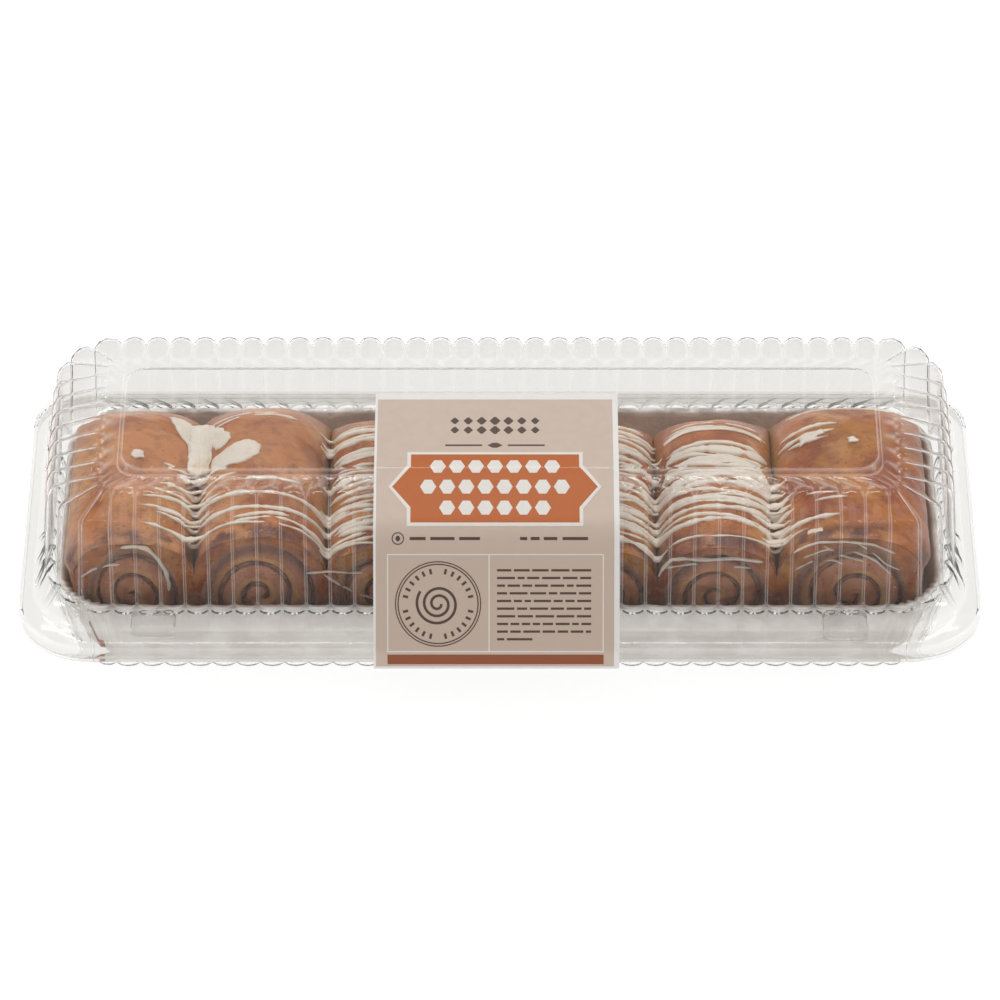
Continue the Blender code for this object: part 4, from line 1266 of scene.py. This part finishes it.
bandPrint = {
    # drift: the heights over which the tan field darkens into painted shade
    "field": (-42.1, 38.7, 3.4, 113.6), "drift": (54 * mm, 64.5 * mm),
    "middle": -1.7,
    "plaque": ((28.7, 33.3), (28.7, 39.5), (35.0, 48.3), (28.7, 57.0), (28.7, 63.2)),
    "plaqueRim": 1.25, "plaqueMiddle": 48.3,
    "beads": {"rows": (39.4, 48.3, 57.2), "counts": (7, 8, 6), "half": (2.75, 2.95), "pitch": 6.5},
    "panel": (-38.3, 35.2, 73.8, 107.4), "divider": -3.7, "line": 0.42,
    "ring": {"centre": (-21.0, 90.9), "radii": ((14.6, 14.25), (13.75, 13.35)), "ticks": 28,
             "tick": (10.4, 12.2, 0.42), "skip": 7, "swirl": (1.0, 7.4, 2.6, 0.45)},
    "bars": {"from": -1.0, "to": 30.9, "first": 79.4, "pitch": 2.62, "rows": 10, "half": 0.38,
             "lastRow": 12, "lengths": (2.2, 6.4), "gap": 0.9, "least": 1.5, "rest": 2.4,
             "seed": 5},
    "sprig": {"s": 17.6, "pitch": 4.6, "leaf": (1.9, 2.08), "count": 7, "apart": 2.5, "cut": 0.2,
              "shrink": 0.07},
    "smallRow": {"s": 28.3, "bars": ((-17.0, -4.4), (4.4, 17.0)), "half": 0.42,
                 "lozenge": (2.6, 1.3, 0.3)},
    "noteRow": {"s": 68.6, "ring": (-34.6, 2.1, 1.75), "half": 0.5, "lozenge": (0.9, 0.9, 0.4),
                "bars": ((-30.6, -25.2), (-23.6, -15.4), (-13.8, -6.8), (6.8, 9.2), (10.4, 13.4),
                         (14.8, 19.4), (21.2, 29.8))},
    "stripe": (-38.2, 35.2, 108.4, 112.6),
}


def rectangle(left, right, first, last):
    return ((left, first), (right, first), (right, last), (left, last))


def bar(left, right, s, half):
    return rectangle(left, right, s - half, s + half)


def ringPieces(centre, outer, inner, count=96):
    pieces = []
    for k in range(count):
        a, b = 2 * math.pi * k / count, 2 * math.pi * (k + 1) / count
        pieces.append(tuple((centre[0] + r * math.cos(t), centre[1] + r * math.sin(t))
                            for r, t in ((outer, a), (outer, b), (inner, b), (inner, a))))
    return pieces


def framePieces(outer, inner):               # the strip between two outlines with equal corners
    count = len(outer)
    return [(outer[k], outer[(k + 1) % count], inner[(k + 1) % count], inner[k])
            for k in range(count)]


def lozenge(x, s, halfX, halfS, cut=0.45):
    return ((x - halfX, s), (x - halfX * cut, s - halfS), (x + halfX * cut, s - halfS),
            (x + halfX, s), (x + halfX * cut, s + halfS), (x - halfX * cut, s + halfS))


def plaqueOutline(grow):
    right = [(x + grow, s + grow * float(np.sign(s - bandPrint["plaqueMiddle"])))
             for x, s in bandPrint["plaque"]]
    right[1] = (right[1][0], bandPrint["plaque"][1][1] - grow * 0.4)
    right[3] = (right[3][0], bandPrint["plaque"][3][1] + grow * 0.4)
    left = [(-x, s) for x, s in right[::-1]]
    return [(x + bandPrint["middle"], s) for x, s in right + left]


def spiralPieces(centre, inner, outer, turns, half):
    pieces = []
    count = int(44 * turns)
    for k in range(count):
        corners = []
        for step, side in ((k, -half), (k + 1, -half), (k + 1, half), (k, half)):
            angle = 2 * math.pi * turns * step / count
            reach = inner + (outer - inner) * step / count + side
            corners.append((centre[0] + reach * math.cos(angle), centre[1] + reach * math.sin(angle)))
        pieces.append(tuple(corners))
    return pieces


def printMesh(name, shapes, low, high):
    flat = bmesh.new()
    for shape in shapes:
        flat.faces.new([flat.verts.new((x, s, 0.0)) for x, s in shape])
    bmesh.ops.remove_doubles(flat, verts=flat.verts, dist=0.001)
    bmesh.ops.triangulate(flat, faces=flat.faces)
    first = min(v.co.y for v in flat.verts)
    last = max(v.co.y for v in flat.verts)
    for cut in bandLengths / mm:
        if first + 0.02 < cut < last - 0.02:
            bmesh.ops.bisect_plane(flat, geom=flat.verts[:] + flat.edges[:] + flat.faces[:],
                                   plane_co=(0, cut, 0), plane_no=(0, 1, 0), dist=0.0005)
    flat.verts.index_update()
    count = len(flat.verts)
    verts = [bandPoint(v.co.x * mm, v.co.y * mm, lift) for lift in (high, low) for v in flat.verts]
    faces = []
    for face in flat.faces:
        corners = [v.index for v in face.verts]
        faces.append(tuple(corners))
        faces.append(tuple(c + count for c in reversed(corners)))
    for edge in flat.edges:
        if len(edge.link_faces) == 1:
            a, b = (v.index for v in edge.verts)
            faces.append((a, b, b + count, a + count))
    flat.free()
    return meshFrom(name, verts, faces, 30)


def printShapes():
    p = bandPrint
    middle = p["middle"]
    beads = p["beads"]
    white = framePieces(plaqueOutline(p["plaqueRim"]), plaqueOutline(0.0))
    for s, number in zip(beads["rows"], beads["counts"]):
        for k in range(number):
            x = middle + (k - (number - 1) / 2) * beads["pitch"]
            white.append(lozenge(x, s, *beads["half"]))
    left, right, first, last = p["panel"]
    line = p["line"]
    panel = framePieces(rectangle(left, right, first, last),
                        rectangle(left + line, right - line, first + line, last - line))
    panel.append(rectangle(p["divider"] - line / 2, p["divider"] + line / 2, first + line,
                           last - line))
    brown = []
    ring = p["ring"]
    for outer, inner in ring["radii"]:
        brown += ringPieces(ring["centre"], outer, inner)
    near, far, half = ring["tick"]
    for k in range(ring["ticks"]):
        if k % ring["skip"] == 0:
            continue
        a = 2 * math.pi * k / ring["ticks"]
        c, s = math.cos(a), math.sin(a)
        brown.append(tuple((ring["centre"][0] + r * c - w * s, ring["centre"][1] + r * s + w * c)
                           for r, w in ((near, -half), (far, -half), (far, half), (near, half))))
    brown += spiralPieces(ring["centre"], *ring["swirl"])
    sprig = p["sprig"]
    for k in range(sprig["count"]):
        off = k - (sprig["count"] - 1) / 2
        leaf = [half * (1.0 - sprig["shrink"] * abs(off)) for half in sprig["leaf"]]
        for s in (sprig["s"] - sprig["apart"], sprig["s"] + sprig["apart"]):
            brown.append(lozenge(middle + off * sprig["pitch"], s, *leaf, sprig["cut"]))
    small = p["smallRow"]
    for a, b in small["bars"]:
        brown.append(bar(middle + a, middle + b, small["s"], small["half"]))
    brown.append(lozenge(middle, small["s"], *small["lozenge"]))
    note = p["noteRow"]
    brown += ringPieces((note["ring"][0], note["s"]), note["ring"][1], note["ring"][2], 32)
    brown.append(lozenge(note["ring"][0], note["s"], *note["lozenge"]))
    for a, b in note["bars"]:
        brown.append(bar(a, b, note["s"], note["half"]))
    bars = p["bars"]
    maker = random.Random(bars["seed"])
    for row in range(bars["rows"]):
        s = bars["first"] + row * bars["pitch"]
        x = bars["from"]
        end = bars["to"] if row < bars["rows"] - 1 else bars["from"] + bars["lastRow"]
        while x < end - bars["least"]:
            stop = min(end, x + maker.uniform(*bars["lengths"]))
            if end - stop < bars["rest"]:
                stop = end
            brown.append(bar(x, stop, s, bars["half"]))
            x = stop + bars["gap"]
    return white, panel, brown


def makeBand():
    half = band["width"] / 2
    xs = np.linspace(band["centre"] - half, band["centre"] + half, 29)
    rings = []
    for s in bandLengths:
        upper = [bandPoint(x, s, band["thickness"]) for x in xs]
        under = [bandPoint(x, s, 0.0) for x in xs[::-1]]
        rings.append(upper + under)
    mesh = closedRings("paperBand", rings, 50)
    paper = printFinish("BandPaper", band["paper"])
    addPiece("paperBand", mesh, paper, ("paper_band",))
    white, panel, brown = printShapes()
    face = band["thickness"]
    lift = band["printLift"]
    layers = (("printField", [rectangle(*bandPrint["field"])], "tan", 1),
              ("printPlaque", [plaqueOutline(0.0)], "orange", 2),
              # the stripe's ink is partly painted shade
              ("printStripe", [rectangle(*bandPrint["stripe"])], "shadedRusset", 2),
              ("printBrown", brown, "brown", 2),
              ("printPanel", panel, "cream", 2),
              ("printWhite", white, "cream", 3))
    for name, shapes, colour, level in layers:
        low = face - band["inkSink"] + lift * (level - 1)
        mesh = printMesh(name, shapes, low, face + lift * level)
        # the tan field darkens down the front as painted shade
        shadeTone = band["paintedShadeTan"] if colour == "tan" else None
        addPiece(name, mesh, printFinish(name + "Ink", band[colour], shadeTone), ())


# The floor, the lamps and the camera.

view = {
    "elevation": 40.0, "distance": 2.2, "aim": (0.0, 6.9 * mm, 31.1 * mm), "lens": 227.3,
    "floor": (0.22, 0.22, 0.22, 1.0), "floorShade": (0.21, 0.21, 0.21, 1.0), "floorGlow": 0.9,
    "floorReach": 3.0, "floorDrop": 0.2 * mm, "world": 0.55,
    # place, aim, size and power
    "lamps": {"topLamp": ((0.0, 0.2, 1.3), (0, 0, 0), (1.2, 0.7), 2.8),
              "rearStrip": ((0.0, 0.9, 1.3), (0, 0, 0.03), (1.2, 0.06), 3.4),
              "leftStrip": ((-1.1, 0.2, 1.0), (0, 0, 0.03), (0.25, 0.7), 2.0),
              "rightStrip": ((1.1, 0.2, 1.0), (0, 0, 0.03), (0.25, 0.7), 2.0)},
}


def makeFloor():
    made, tree, shader = newMaterial("PaleFloor", Roughness=0.9)
    soft = useGroup(tree, blotches, Colour_A=view["floor"], Colour_B=view["floorShade"],
                    Scale=3.0)
    tree.links.new(soft.outputs["Colour"], shader.inputs["Base Color"])
    shader.inputs["Specular IOR Level"].default_value = 0.0
    shader.inputs["Emission Color"].default_value = (1, 1, 1, 1)
    shader.inputs["Emission Strength"].default_value = view["floorGlow"]
    mesh = bpy.data.meshes.new("floor")
    corners = rectangle(-view["floorReach"], view["floorReach"], -view["floorReach"],
                        view["floorReach"])
    mesh.from_pydata([(x, y, -view["floorDrop"]) for x, y in corners], [], [(0, 1, 2, 3)])
    mesh.materials.append(made)
    addObject("floor", mesh)


def softbox(name, place, aim, size, power):
    lamp = bpy.data.lights.new(name, "AREA")
    lamp.shape = "RECTANGLE"
    lamp.size, lamp.size_y = size
    lamp.energy = power
    made = addObject(name, lamp)
    made.location = place
    made.rotation_mode = "QUATERNION"
    made.rotation_quaternion = (Vector(aim) - Vector(place)).to_track_quat("-Z", "Y")


def makeStudio():
    world = bpy.data.worlds.new("studio")
    bpy.context.scene.world = world
    world.use_nodes = True
    backdrop = world.node_tree.nodes["Background"]
    backdrop.inputs["Color"].default_value = (1.0, 1.0, 1.0, 1.0)
    backdrop.inputs["Strength"].default_value = view["world"]
    for name, settings in view["lamps"].items():
        softbox(name, *settings)
    bpy.context.scene.view_settings.view_transform = "Standard"


def makeCamera():
    lens = bpy.data.cameras.new("camera")
    lens.lens = view["lens"]
    lens.sensor_width = 36.0
    lens.clip_start = 0.1
    lens.clip_end = 20
    made = addObject("camera", lens)
    tilt = math.radians(view["elevation"])
    back = Vector((0, -math.cos(tilt), math.sin(tilt)))
    made.location = Vector(view["aim"]) + back * view["distance"]
    made.rotation_euler = (math.pi / 2 - tilt, 0, 0)
    bpy.context.scene.camera = made


makeCamera()
makeClamshell()
print("clamshell: lid, base and press studs made")
makeTray()
print("tray: crimped foil made")
makeLoaf()
print("loaf: seven rolls made")
makeFillings()
print("fillings: cinnamon strips made")
makeIcing()
print("icing: threads and smears laid")
makeBand()
print("band: paper and print made")
makeFloor()
makeStudio()
print("studio: floor and lamps ready")
